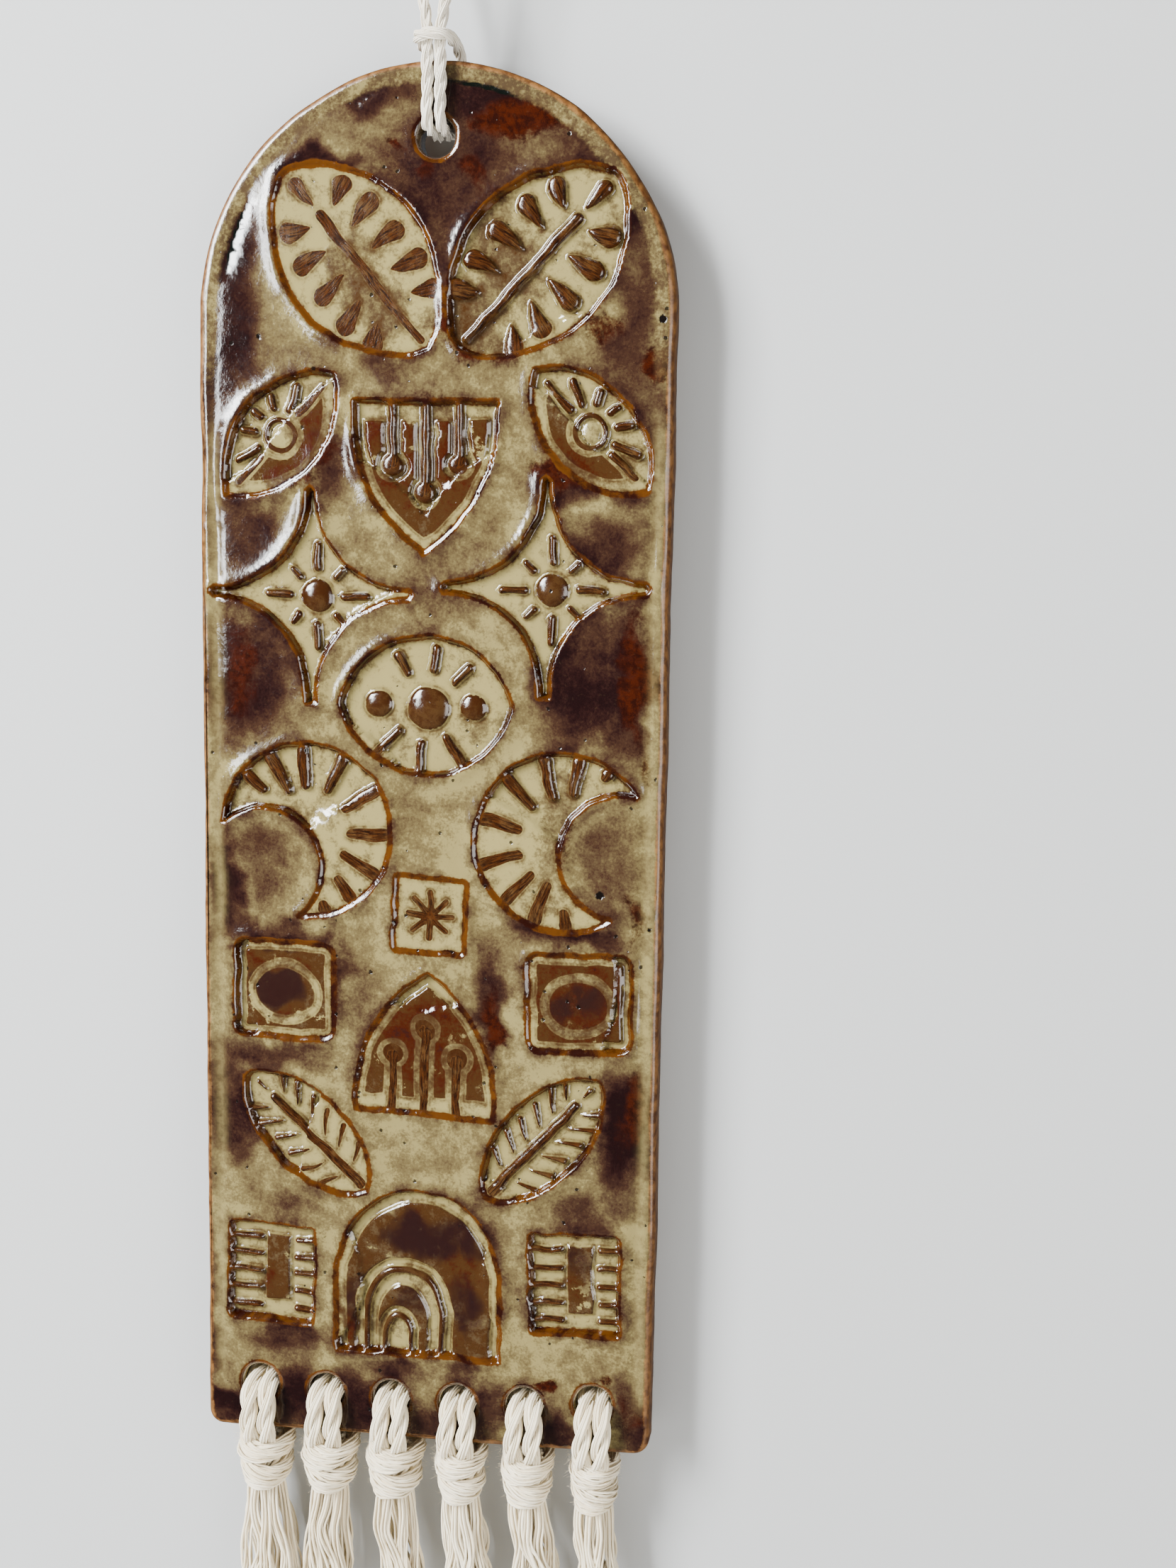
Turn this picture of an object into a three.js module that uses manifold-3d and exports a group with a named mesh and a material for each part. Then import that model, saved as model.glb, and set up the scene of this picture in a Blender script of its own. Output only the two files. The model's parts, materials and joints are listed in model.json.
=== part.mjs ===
// Glazed stoneware wall plaque: an arched slab pressed with carved blocks, hung by a cotton cord,
// with six cotton tassels through its bottom edge. Millimetres: x right, y into the wall, z up.
// The slab's front face is y = 0, and the frame's origin is where the hanging loop rests on its peg.
import * as THREE from 'three';
import Module from 'manifold-3d';
import { mergeVertices } from 'three/addons/utils/BufferGeometryUtils.js';

const wasm = await Module();
wasm.setup();

// Slab. Heights on it are measured from the level of datum, just above its sloping bottom edge.
const slabWidth = 94.8;
const slabTop = 275.4;
const slabThickness = 7;
const bottomDrop = 3; // how far the left end of the bottom edge lies below datum
const bottomSlope = 2.4; // how much higher its right end is
const cornerRadius = 3.2;
const archSteps = 24;
// How far the outline is drawn in at each depth: the rounded front edge, the side, the back edge
const rim = [[1.7, 0], [0.5, 0.4], [0, 1.5], [0, slabThickness - 1.1], [0.9, slabThickness]];

// Holes
const hangHoleRadius = 3.65;
const hangHoleBelowTop = 14.1;
const tasselCount = 6;
const tasselHoleRadius = 3.75;
const tasselHoleFromSide = 11.7;
const tasselHoleAboveEdge = 10.5; // the middle of the row
const tasselHoleRise = 1.9; // the row's ends lie this much higher
const holeSides = 12;

// Cotton
const clearance = 0.3;
const cordDiameter = 2.4;
const cordSides = 8;
const cordSteps = 58;
const pegAboveTop = 39.1; // where the loop rests, above the slab's top edge
const pegRadius = 6.6;
const tasselRope = 1.7; // radius of each of the two ropes side by side
const tasselRopeSteps = 10;
const tasselKnotWidth = 11.2;
const tasselKnotHeight = 11;
const tasselWaist = 7.6;
const tasselSkirtWidth = 12.4;
const tasselSkirtLength = 33;
const tasselSides = 8;
const tasselDepth = 0.86; // a tassel's depth as a share of its width

// Stamped blocks
const stampDepth = 1.3;
const ridgeDrop = 0.15; // tops of the ridges, below the slab's face
const fieldDrop = 0.45; // flat fields left inside a stamp, below the face
const domeSides = 9;
const domeRows = 4; // twice as many as stand above a stamp's floor
const edge = slabWidth / 2;
const bigLeaf = {
  length: 44, halfWidth: 14.2, fullness: 0.62, steps: 9,
  midrib: [1.6, 33.6], midribWidth: [1.6, 2.3], tipRib: [35.2, 41.6],
  ribs: 5, firstRib: 32.6, ribPitch: 5.6, firstSlant: 62, slantPitch: 16, ribStart: 3.2, ribSpread: 0.35,
  ribLength: 7, ribWidth: 2.9,
};
const smallLeaf = {
  length: 34, halfWidth: 8.3, fullness: 0.6, steps: 7,
  midrib: [1.2, 27.6], midribWidth: [2.3, 1.9], tipRib: [29, 31.8],
  ribs: 6, firstRib: 26.3, ribPitch: 4, firstSlant: 44, slantPitch: 4.2, ribStart: 2.2, ribSpread: 0,
  ribLength: 5.4, ribWidth: 1.2,
};
const eye = {
  halfLength: 16, halfWidth: 8.5, steps: 8, ringOuter: 3.6, ringInner: 2.5, sides: 10,
  axisRay: [5.4, 13], rays: 5, firstRay: 23, rayPitch: 34.5, rayStart: 4.9, rayEnd: 10.5, rayWidth: 1.6,
};
const shield = {
  halfWidth: 14.4, height: 29, shoulder: 26, steps: 5, groove: 1.7,
  pins: [-6.8, 0, 6.8], ballHeights: [17, 11.5, 17], ballRadius: 2, pinWidth: 1.9, pinGroove: 1, sides: 8,
};
const star = {
  arm: 20, tipHalf: 0.6, tail: 21.8, tailHalf: 0.9, steps: 6, domeAt: [1.2, -0.5], domeRadius: 3.3,
  axisDash: [5, 10.6], diagonalDash: [4.9, 7.7], dashWidth: 1.7,
};
const lens = {
  halfLength: 17.5, halfWidth: 13.6, steps: 10, domeAt: [0.5, -0.5], domeRadius: 4.3,
  sideDome: 9.8, sideDomeRadius: 2.65, fans: [81, 264], fanPitch: 40, ray: [7, 12], rayWidth: 2,
};
const moon = {
  radius: 17.6, biteOffset: 11.8, biteRadius: 12.5, outerSteps: 19, biteSteps: 8,
  dashes: 9, dashPitch: 26.9, dashBunch: 7.5, dashTurn: 173.5, dashStart: 8.8, dashMargin: 0.9, biteMargin: 3, dashWidth: 2.2,
};
const asterisk = { halfWidth: 7.2, halfHeight: 7.6, corner: 0.8, arm: 5, armWidth: 1.15, arms: 8 };
const ringTile = {
  halfWidth: 10.3, halfHeight: 9.8, corner: 2.4, groove: 1.3, sides: 14,
  ringOuter: [7.6, 6.6], disc: [6.5, 5.2],
};
// Nested arches of the rainbow: middle, half width and height of each edge, from the outside inwards
const rainbow = {
  spring: 0.44, steps: 9, outer: [0, 17.2, 35],
  bands: [
    { drop: 'field', outside: [0.1, 15.3, 32.6], inside: [-3, 10.3, 20.3] },
    { drop: 'ridge', outside: [-3, 8.7, 18.8], inside: [-3, 7.4, 17.3] },
    { drop: 'field', outside: [-3.3, 5.6, 14.5], inside: [-4.2, 4.4, 9.9] },
    { drop: 'ridge', outside: [-4.2, 3.5, 8.8], inside: [-4.2, 2.3, 7.4] },
  ],
};
const comb = {
  halfWidth: 9.1, halfHeight: 10.3, corner: 0.9, bars: 5, firstBar: 7.2, barPitch: 3.75, longBar: 6.8,
  shortBar: 4.3, barWidth: 1.4, field: [-1.6, 3.8, -6.4, 8],
};

// Where each block was pressed: its own origin on the face, how far it is turned, and whether mirrored
const presses = [
  { block: () => leafBlock(bigLeaf), x: -0.7, z: 222, turn: 40.6 },
  { block: () => leafBlock(bigLeaf), x: 5.5, z: 222, turn: -43.4, mirror: true },
  { block: eyeBlock, x: 16.8 - edge, z: 205.3, turn: 47.4 },
  { block: eyeBlock, x: edge - 15.8, z: 206.3, turn: -45.7, mirror: true },
  { block: shieldBlock, x: -1.1, z: 182.8, turn: 0 },
  { block: starBlock, x: 23.1 - edge, z: 174.3, turn: 0 },
  { block: starBlock, x: edge - 24.2, z: 176.4, turn: 0 },
  { block: lensBlock, x: -0.6, z: 152.5, turn: 0 },
  { block: () => moonBlock(-3.5), x: 22 - edge, z: 126.3, turn: 220.9 },
  { block: () => moonBlock(3.5), x: edge - 20, z: 126, turn: -11.8 },
  { block: asteriskBlock, x: 0.5, z: 110.3, turn: -2 },
  { block: ringBlock, x: 17.4 - edge, z: 93.3, turn: -1 },
  { block: ringBlock, x: edge - 16.1, z: 93.8, turn: 1 },
  { block: shieldBlock, x: 0.2, z: 98, turn: 178.6 },
  { block: () => leafBlock(smallLeaf), x: -12.4, z: 51.8, turn: 48.3 },
  { block: () => leafBlock(smallLeaf), x: 13, z: 52.3, turn: -41.6, mirror: true },
  { block: rainbowBlock, x: -1.5, z: 17, turn: 0 },
  { block: combBlock, x: 14.5 - edge, z: 32.2, turn: -1 },
  { block: combBlock, x: edge - 16, z: 34.9, turn: 1.5 },
];

const glaze = new THREE.MeshStandardMaterial({ name: 'glazed_stoneware', color: 0x9c8a68, roughness: 0.25 });
const cotton = new THREE.MeshStandardMaterial({ name: 'cotton', color: 0xece6da, roughness: 0.9 });

// Flat outlines, as lists of [x, z] running anticlockwise

function polar(radius, degrees) {
  const angle = THREE.MathUtils.degToRad(degrees);
  return [radius * Math.cos(angle), radius * Math.sin(angle)];
}

function arc(cx, cz, radius, from, to, steps, squash = 1) {
  return Array.from({ length: steps + 1 }, (_, i) => {
    const [x, z] = polar(radius, from + ((to - from) * i) / steps);
    return [cx + x, cz + z * squash];
  });
}

function ellipse(cx, cz, halfWidth, halfHeight, sides) {
  return arc(cx, cz, halfWidth, 0, 360 - 360 / sides, sides - 1, halfHeight / halfWidth);
}

function roundedBox(halfWidth, halfHeight, corner) {
  const x = halfWidth - corner;
  const z = halfHeight - corner;
  return [
    ...arc(x, z, corner, 0, 90, 2), ...arc(-x, z, corner, 90, 180, 2),
    ...arc(-x, -z, corner, 180, 270, 2), ...arc(x, -z, corner, 270, 360, 2),
  ];
}

// A bar from one point to another, blunt at both ends
function bar([x0, z0], [x1, z1], startWidth, endWidth) {
  const along = new THREE.Vector2(x1 - x0, z1 - z0).normalize();
  const corner = (x, z, width, back) => [
    x + along.x * back - (along.y * width) / 2,
    z + along.y * back + (along.x * width) / 2,
  ];
  const cap = 0.35;
  return [
    [x0, z0], corner(x0, z0, -startWidth, cap * startWidth), corner(x1, z1, -endWidth, -cap * endWidth),
    [x1, z1], corner(x1, z1, endWidth, -cap * endWidth), corner(x0, z0, startWidth, cap * startWidth),
  ];
}

// A teardrop with its point at the start
function drop([x0, z0], [x1, z1], width) {
  const at = (share, half) => {
    const length = Math.hypot(x1 - x0, z1 - z0);
    const [ax, az] = [(x1 - x0) / length, (z1 - z0) / length];
    return [x0 + (x1 - x0) * share - az * half, z0 + (z1 - z0) * share + ax * half];
  };
  const half = width / 2;
  return [[x0, z0], at(0.68, -half), at(0.98, -0.5 * half), at(0.98, 0.5 * half), at(0.68, half)];
}

function vesica(halfLength, halfWidth, steps) {
  const radius = (halfLength ** 2 + halfWidth ** 2) / (2 * halfWidth);
  const half = THREE.MathUtils.radToDeg(Math.asin(Math.min(1, halfLength / radius)));
  const upper = arc(0, halfWidth - radius, radius, 90 - half, 90 + half, steps);
  return [...upper, ...upper.slice(1, -1).map(([x, z]) => [-x, -z])];
}

function vesicaReach(halfLength, halfWidth, degrees) {
  const radius = (halfLength ** 2 + halfWidth ** 2) / (2 * halfWidth);
  const [across, up] = polar(radius - halfWidth, degrees);
  return Math.sqrt(Math.max(0, radius ** 2 - across ** 2)) - Math.abs(up);
}

// Closed solids

function toManifold(geometry) {
  const bare = geometry.clone();
  bare.deleteAttribute('normal');
  bare.deleteAttribute('uv');
  const merged = mergeVertices(bare, 1e-4);
  return new wasm.Manifold(new wasm.Mesh({
    numProp: 3,
    vertProperties: new Float32Array(merged.attributes.position.array),
    triVerts: new Uint32Array(merged.index.array),
  }));
}

function toGeometry(solid) {
  const mesh = solid.getMesh();
  const geometry = new THREE.BufferGeometry();
  geometry.setAttribute('position', new THREE.BufferAttribute(mesh.vertProperties, 3));
  geometry.setIndex(new THREE.BufferAttribute(mesh.triVerts, 1));
  geometry.computeVertexNormals();
  return geometry;
}

// An outline on the face, carried through the slab from one depth to another
function prism(outline, front, back) {
  const shape = new THREE.Shape(outline.map(([x, z]) => new THREE.Vector2(x, z)));
  const geometry = new THREE.ExtrudeGeometry(shape, { depth: back - front, bevelEnabled: false });
  geometry.rotateX(Math.PI / 2);
  geometry.translate(0, back, 0);
  return toManifold(geometry);
}

function dome([x, z], radius, height, sides) {
  const geometry = new THREE.SphereGeometry(radius, sides, domeRows);
  geometry.scale(1, height / radius, 1);
  geometry.translate(x, stampDepth, z);
  return toManifold(geometry);
}

// Rings of points, each with as many, joined into a closed skin
function loft(rings) {
  const count = rings[0].length;
  const positions = rings.flat(2);
  const index = [];
  for (let r = 0; r + 1 < rings.length; r += 1) {
    for (let i = 0; i < count; i += 1) {
      const a = r * count + i;
      const b = r * count + ((i + 1) % count);
      index.push(a, a + count, b, b, a + count, b + count);
    }
  }
  const last = (rings.length - 1) * count;
  for (let i = 1; i + 1 < count; i += 1) {
    index.push(0, i, i + 1, last, last + i + 1, last + i);
  }
  const geometry = new THREE.BufferGeometry();
  geometry.setAttribute('position', new THREE.Float32BufferAttribute(positions, 3));
  geometry.setIndex(index);
  return geometry;
}

// Blocks. Each gives its outline and the solids that stand up from the floor of its recess.

function leafBlock(leaf) {
  const side = Array.from({ length: leaf.steps - 1 }, (_, i) => {
    const share = (i + 1) / leaf.steps;
    return [leaf.halfWidth * Math.sin(Math.PI * share) ** leaf.fullness, leaf.length * share];
  });
  const blunt = 0.06 * leaf.halfWidth;
  const outline = [
    [0, 0], ...side, [blunt, leaf.length], [-blunt, leaf.length],
    ...side.map(([x, z]) => [-x, z]).reverse(),
  ];
  const ridges = [
    bar([0, leaf.midrib[0]], [0, leaf.midrib[1]], leaf.midribWidth[0], leaf.midribWidth[1]),
    drop([0, leaf.tipRib[0]], [0, leaf.tipRib[1]], leaf.ribWidth * 0.8),
  ];
  for (const side of [-1, 1]) {
    for (let i = 0; i < leaf.ribs; i += 1) {
      const [up, out] = polar(1, leaf.firstSlant + leaf.slantPitch * i);
      const start = [leaf.ribStart + leaf.ribSpread * i, leaf.firstRib - leaf.ribPitch * i];
      const length = leaf.ribLength * (i === 0 || i === leaf.ribs - 1 ? 0.8 : 1);
      const end = [start[0] + out * length, start[1] + up * length];
      const ridge = drop(start, end, leaf.ribWidth);
      ridges.push(side > 0 ? ridge : ridge.map(([x, z]) => [-x, z]).reverse());
    }
  }
  return { outline, ridges };
}

function eyeBlock() {
  const outline = vesica(eye.halfLength, eye.halfWidth, eye.steps);
  const [start, end] = eye.axisRay;
  const ridges = [
    bar([start, 0], [end, 0], eye.rayWidth, eye.rayWidth * 0.8),
    bar([-start, 0], [-end, 0], eye.rayWidth, eye.rayWidth * 0.8),
  ];
  for (let i = 0; i < eye.rays; i += 1) {
    const angle = eye.firstRay + eye.rayPitch * i;
    const reach = Math.min(eye.rayEnd, vesicaReach(eye.halfLength, eye.halfWidth, angle) - 1.1);
    ridges.push(bar(polar(eye.rayStart, angle), polar(reach, angle), eye.rayWidth, eye.rayWidth));
  }
  const ring = ellipse(0, 0, eye.ringOuter, eye.ringOuter, eye.sides);
  const hollow = ellipse(0, 0, eye.ringInner, eye.ringInner, eye.sides);
  const fields = [{ outline: ring, drop: ridgeDrop, without: [hollow] }];
  return { outline, ridges, fields, domes: [{ at: [0, 0], radius: eye.ringInner - 0.5, height: 0.6 }] };
}

function shieldOutline(inset) {
  const half = shield.halfWidth - inset;
  const point = inset * 1.5;
  const rise = shield.shoulder - point;
  const radius = (half ** 2 + rise ** 2) / (2 * half);
  const sweep = THREE.MathUtils.radToDeg(Math.asin(rise / radius));
  const right = arc(half - radius, shield.shoulder, radius, -sweep, 0, shield.steps);
  const top = shield.height - inset;
  return [...right, [half, top], [-half, top], ...right.slice(1).map(([x, z]) => [-x, z]).reverse()];
}

function shieldBlock() {
  const ridges = [];
  const grooves = [];
  shield.pins.forEach((x, i) => {
    const ball = shield.ballHeights[i];
    const top = shield.height + 1;
    const grooveWidth = shield.pinWidth + 2 * shield.pinGroove;
    const grooveRadius = shield.ballRadius + shield.pinGroove;
    ridges.push(bar([x, ball], [x, shield.height - 0.3], shield.pinWidth, shield.pinWidth));
    ridges.push(ellipse(x, ball, shield.ballRadius, shield.ballRadius, shield.sides));
    grooves.push(bar([x, ball], [x, top], grooveWidth, grooveWidth));
    grooves.push(ellipse(x, ball, grooveRadius, grooveRadius, shield.sides));
  });
  const fields = [{ outline: shieldOutline(shield.groove), drop: fieldDrop, without: grooves }];
  return { outline: shieldOutline(0), ridges, fields };
}

function starBlock() {
  const { arm, tipHalf, tail, tailHalf, steps } = star;
  const outline = [[arm + tipHalf, 0]];
  [45, 135, 225, 315].forEach((middle, quadrant) => {
    const [cx, cz] = [Math.sign(Math.cos(THREE.MathUtils.degToRad(middle))) * arm, quadrant < 2 ? arm : -arm];
    const half = quadrant < 2 ? tipHalf : tailHalf;
    outline.push(...arc(cx, cz, arm - half, middle + 225, middle + 135, steps));
    const tips = [[0, arm + tipHalf], [-arm - tipHalf, 0], [-tailHalf, -tail], [tailHalf, -tail]];
    if (quadrant < 3) outline.push(tips[quadrant]);
    if (quadrant === 2) outline.push(tips[3]);
  });
  const [dx, dz] = star.domeAt;
  const dash = ([start, end], angle, width) => {
    const [from, to] = [polar(start, angle), polar(end, angle)];
    return bar([from[0] + dx, from[1] + dz], [to[0] + dx, to[1] + dz], width, width * 0.9);
  };
  const ridges = [];
  for (let angle = 0; angle < 360; angle += 90) {
    ridges.push(dash(star.axisDash, angle, star.dashWidth));
    ridges.push(dash(star.diagonalDash, angle + 45, star.dashWidth * 0.9));
  }
  return { outline, ridges, domes: [{ at: star.domeAt, radius: star.domeRadius, height: stampDepth }] };
}

function lensBlock() {
  const outline = vesica(lens.halfLength, lens.halfWidth, lens.steps);
  const ridges = lens.fans.flatMap((middle) => [-1, 0, 1].map((i) => {
    const angle = middle + lens.fanPitch * i;
    return bar(polar(lens.ray[0], angle), polar(lens.ray[1], angle), lens.rayWidth * 0.9, lens.rayWidth);
  }));
  const domes = [
    { at: lens.domeAt, radius: lens.domeRadius, height: stampDepth },
    { at: [-lens.sideDome, 0], radius: lens.sideDomeRadius, height: stampDepth - ridgeDrop },
    { at: [lens.sideDome, 0], radius: lens.sideDomeRadius, height: stampDepth - ridgeDrop },
  ];
  return { outline, ridges, domes };
}

function moonBlock(dashShift) {
  const { radius, biteOffset, biteRadius } = moon;
  const tipX = (biteOffset ** 2 + radius ** 2 - biteRadius ** 2) / (2 * biteOffset);
  const tipZ = Math.sqrt(radius ** 2 - tipX ** 2);
  const tipAngle = THREE.MathUtils.radToDeg(Math.atan2(tipZ, tipX));
  const biteAngle = THREE.MathUtils.radToDeg(Math.atan2(tipZ, tipX - biteOffset));
  const outline = [
    ...arc(0, 0, radius, tipAngle, 360 - tipAngle, moon.outerSteps),
    ...arc(biteOffset, 0, biteRadius, 360 - biteAngle, biteAngle, moon.biteSteps).slice(1, -1),
  ];
  const ridges = [];
  for (let i = 0; i < moon.dashes; i += 1) {
    const step = i - (moon.dashes - 1) / 2;
    const bunch = moon.dashBunch * Math.sin((2 * Math.PI * step) / (moon.dashes - 1));
    const angle = moon.dashTurn + dashShift + moon.dashPitch * step + bunch;
    const [along, across] = polar(biteOffset, angle);
    const clear = along + Math.sqrt((biteRadius + moon.biteMargin) ** 2 - across ** 2);
    const start = Math.min(Math.max(moon.dashStart, clear), radius - 2.6);
    const end = polar(radius - moon.dashMargin, angle);
    ridges.push(bar(polar(start, angle), end, moon.dashWidth * 0.7, moon.dashWidth));
  }
  return { outline, ridges };
}

function asteriskBlock() {
  const ridges = [];
  for (let i = 0; i < asterisk.arms / 2; i += 1) {
    const end = polar(asterisk.arm, (i * 360) / asterisk.arms);
    ridges.push(bar([-end[0], -end[1]], end, asterisk.armWidth, asterisk.armWidth));
  }
  return { outline: roundedBox(asterisk.halfWidth, asterisk.halfHeight, asterisk.corner), ridges };
}

function ringBlock() {
  const { halfWidth, halfHeight, corner, groove, ringOuter, disc, sides } = ringTile;
  const frame = roundedBox(halfWidth - groove, halfHeight - groove, Math.max(0.4, corner - groove));
  const without = [ellipse(0, -0.5, ringOuter[0], ringOuter[1], sides)];
  const fields = [
    { outline: frame, drop: fieldDrop, without },
    { outline: ellipse(0, -0.5, disc[0], disc[1], sides), drop: ridgeDrop, without: [] },
  ];
  return { outline: roundedBox(halfWidth, halfHeight, corner), ridges: [], fields };
}

// An arch with straight legs, its feet carried a little below the base line
function archOutline([middle, half, height], foot) {
  const spring = height * rainbow.spring;
  const crown = arc(middle, spring, half, 0, 180, rainbow.steps, (height - spring) / half);
  return [[middle - half, -foot], [middle + half, -foot], ...crown];
}

function rainbowBlock() {
  const fields = rainbow.bands.map(({ drop: level, outside, inside }) => ({
    outline: archOutline(outside, 1),
    drop: level === 'ridge' ? ridgeDrop : fieldDrop,
    without: [archOutline(inside, 2)],
  }));
  return { outline: archOutline(rainbow.outer, 0), ridges: [], fields };
}

function combBlock() {
  const { halfWidth, halfHeight, barWidth, field } = comb;
  const ridges = [];
  for (let i = 0; i < comb.bars; i += 1) {
    const z = comb.firstBar - comb.barPitch * i;
    ridges.push(bar([-halfWidth + 0.3, z], [-halfWidth + comb.longBar, z], barWidth, barWidth));
    ridges.push(bar([halfWidth - 0.3, z], [halfWidth - comb.shortBar, z], barWidth, barWidth));
  }
  const [left, right, low, high] = field;
  const fields = [{ outline: [[left, low], [right, low], [right, high], [left, high]], drop: fieldDrop, without: [] }];
  return { outline: roundedBox(halfWidth, halfHeight, comb.corner), ridges, fields };
}

// The hollow that one press leaves in the clay
function recess({ block, x, z, turn, mirror }) {
  const { outline, ridges, fields = [], domes = [] } = block();
  let hollow = prism(outline, -1, stampDepth);
  for (const ridge of ridges) {
    hollow = hollow.subtract(prism(ridge, ridgeDrop, stampDepth + 1));
  }
  for (const field of fields) {
    let raised = prism(field.outline, field.drop, stampDepth + 1);
    for (const groove of field.without) {
      raised = raised.subtract(prism(groove, -1, stampDepth + 2));
    }
    hollow = hollow.subtract(raised);
  }
  for (const { at, radius, height } of domes) {
    hollow = hollow.subtract(dome(at, radius, height - ridgeDrop, domeSides));
  }
  if (mirror) hollow = hollow.mirror([1, 0, 0]);
  return hollow.rotate([0, -turn, 0]).translate([x, 0, z]);
}

// Slab

function bottomAt(x) {
  return -bottomDrop + (bottomSlope * (x + edge)) / slabWidth;
}

function slabOutline(inset) {
  const half = edge - inset;
  const corner = Math.max(0.4, cornerRadius - inset);
  const low = (x) => bottomAt(x) + inset + corner;
  return [
    ...arc(0, slabTop - edge, half, 0, 180, archSteps),
    ...arc(-half + corner, low(-edge + inset + corner), corner, 180, 270, 4),
    ...arc(half - corner, low(edge - inset - corner), corner, 270, 360, 4),
  ];
}

const hangHole = { x: 0.6, z: slabTop - hangHoleBelowTop };

function tasselHole(i) {
  const span = edge - tasselHoleFromSide;
  const x = -span + (2 * span * i) / (tasselCount - 1);
  return { x, z: bottomAt(x) + tasselHoleAboveEdge - tasselHoleRise * (1 - (x / span) ** 2) };
}

function plaqueGeometry() {
  const rings = rim.map(([inset, y]) => slabOutline(inset).map(([x, z]) => [x, y, z]));
  let slab = toManifold(loft(rings));
  for (const press of presses) {
    slab = slab.subtract(recess(press));
  }
  const holes = [{ ...hangHole, radius: hangHoleRadius }];
  for (let i = 0; i < tasselCount; i += 1) {
    holes.push({ ...tasselHole(i), radius: tasselHoleRadius });
  }
  for (const { x, z, radius } of holes) {
    slab = slab.subtract(prism(ellipse(x, z, radius, radius, holeSides), -1, slabThickness + 1));
  }
  return toGeometry(slab);
}

// Hanging cord: knotted over the peg, down to a bar across its own two strands above the slab,
// and from there behind the slab, through the hole and up its front. One half, from the knot down.

function hangingRoute() {
  const strand = cordDiameter / 2 + 0.05;
  const off = cordDiameter / 2 + clearance;
  const back = slabThickness + off;
  const top = slabTop;
  const lip = hangHole.z + Math.sqrt(hangHoleRadius ** 2 - strand ** 2);
  const bend = off + 0.3;
  const peg = top + pegAboveTop;
  const wrap = pegRadius + cordDiameter / 2;
  const onPeg = (degrees) => {
    const [up, out] = polar(wrap, degrees);
    return [-out, 0, peg - pegRadius + up];
  };
  const half = [
    [-strand - 0.1, 0, peg + 2.9], [-2.6, 0, peg + 1.2], onPeg(38), onPeg(62), onPeg(86),
    [-7.2, -0.1, peg - 11], [-5.4, -0.5, peg - 19], [-3.5, -1, peg - 27.5],
    [-1.7, -off, top + 3.6], [-strand, -off, top], [-strand, -off, top - 5],
    [-strand, -off, lip + 0.2], [-strand, -bend * 0.7, lip - bend * 0.7], [-strand, 0.2, lip - bend],
    [-strand, slabThickness / 2, lip - bend], [-strand, slabThickness - 0.2, lip - bend],
    [-strand, slabThickness + bend * 0.7, lip - bend * 0.7], [-strand - 0.1, back, lip + 0.2],
    [-1.8, back, top - 6], [-2.9, back - 0.2, top - 0.5], [-3.8, slabThickness - 1, top + 2.2],
    [-3.95, 2.4, top + 2.6], [-3.6, -1.7, top + 2.4], [-2.3, -3.75, top + 2.3],
  ];
  const middle = [0, -off - cordDiameter - 0.1, top + 2.3];
  const other = half.map(([x, y, z]) => [-x, y, z]).reverse();
  return [...half, middle, ...other].map(([x, y, z]) => new THREE.Vector3(x + hangHole.x, y, z));
}

// The cross-section of a cord, or of two cords side by side where spread is over nothing
function ropeSection(radius, spread = 0) {
  const turn = 180 / cordSides;
  const ring = arc(0, 0, radius, turn, 360 - turn, cordSides - 1);
  return new THREE.Shape(ring.map(([x, z]) => new THREE.Vector2(x + Math.sign(x) * spread, z)));
}

function hangingCordGeometry() {
  const path = new THREE.CatmullRomCurve3(hangingRoute(), false, 'centripetal');
  const along = { steps: cordSteps, bevelEnabled: false, extrudePath: path };
  return new THREE.ExtrudeGeometry(ropeSection(cordDiameter / 2), along);
}

function latheAlongZ(profile, sides) {
  const geometry = new THREE.LatheGeometry(profile.map(([r, z]) => new THREE.Vector2(r, z)), sides);
  geometry.rotateX(Math.PI / 2);
  return geometry;
}

function hangingKnotGeometry() {
  const foot = slabTop + pegAboveTop + 2.9 + clearance;
  const profile = [[0, 0], [2.9, 0.6], [4, 3.2], [3.6, 6], [2.3, 7.6], [2.6, 11], [3.1, 16], [0, 16.8]];
  const geometry = latheAlongZ(profile, cordSides);
  geometry.translate(hangHole.x, 0, foot);
  return geometry;
}

// Tassel: two ropes side by side through the hole, gathered in a knot under the slab's edge

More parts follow.
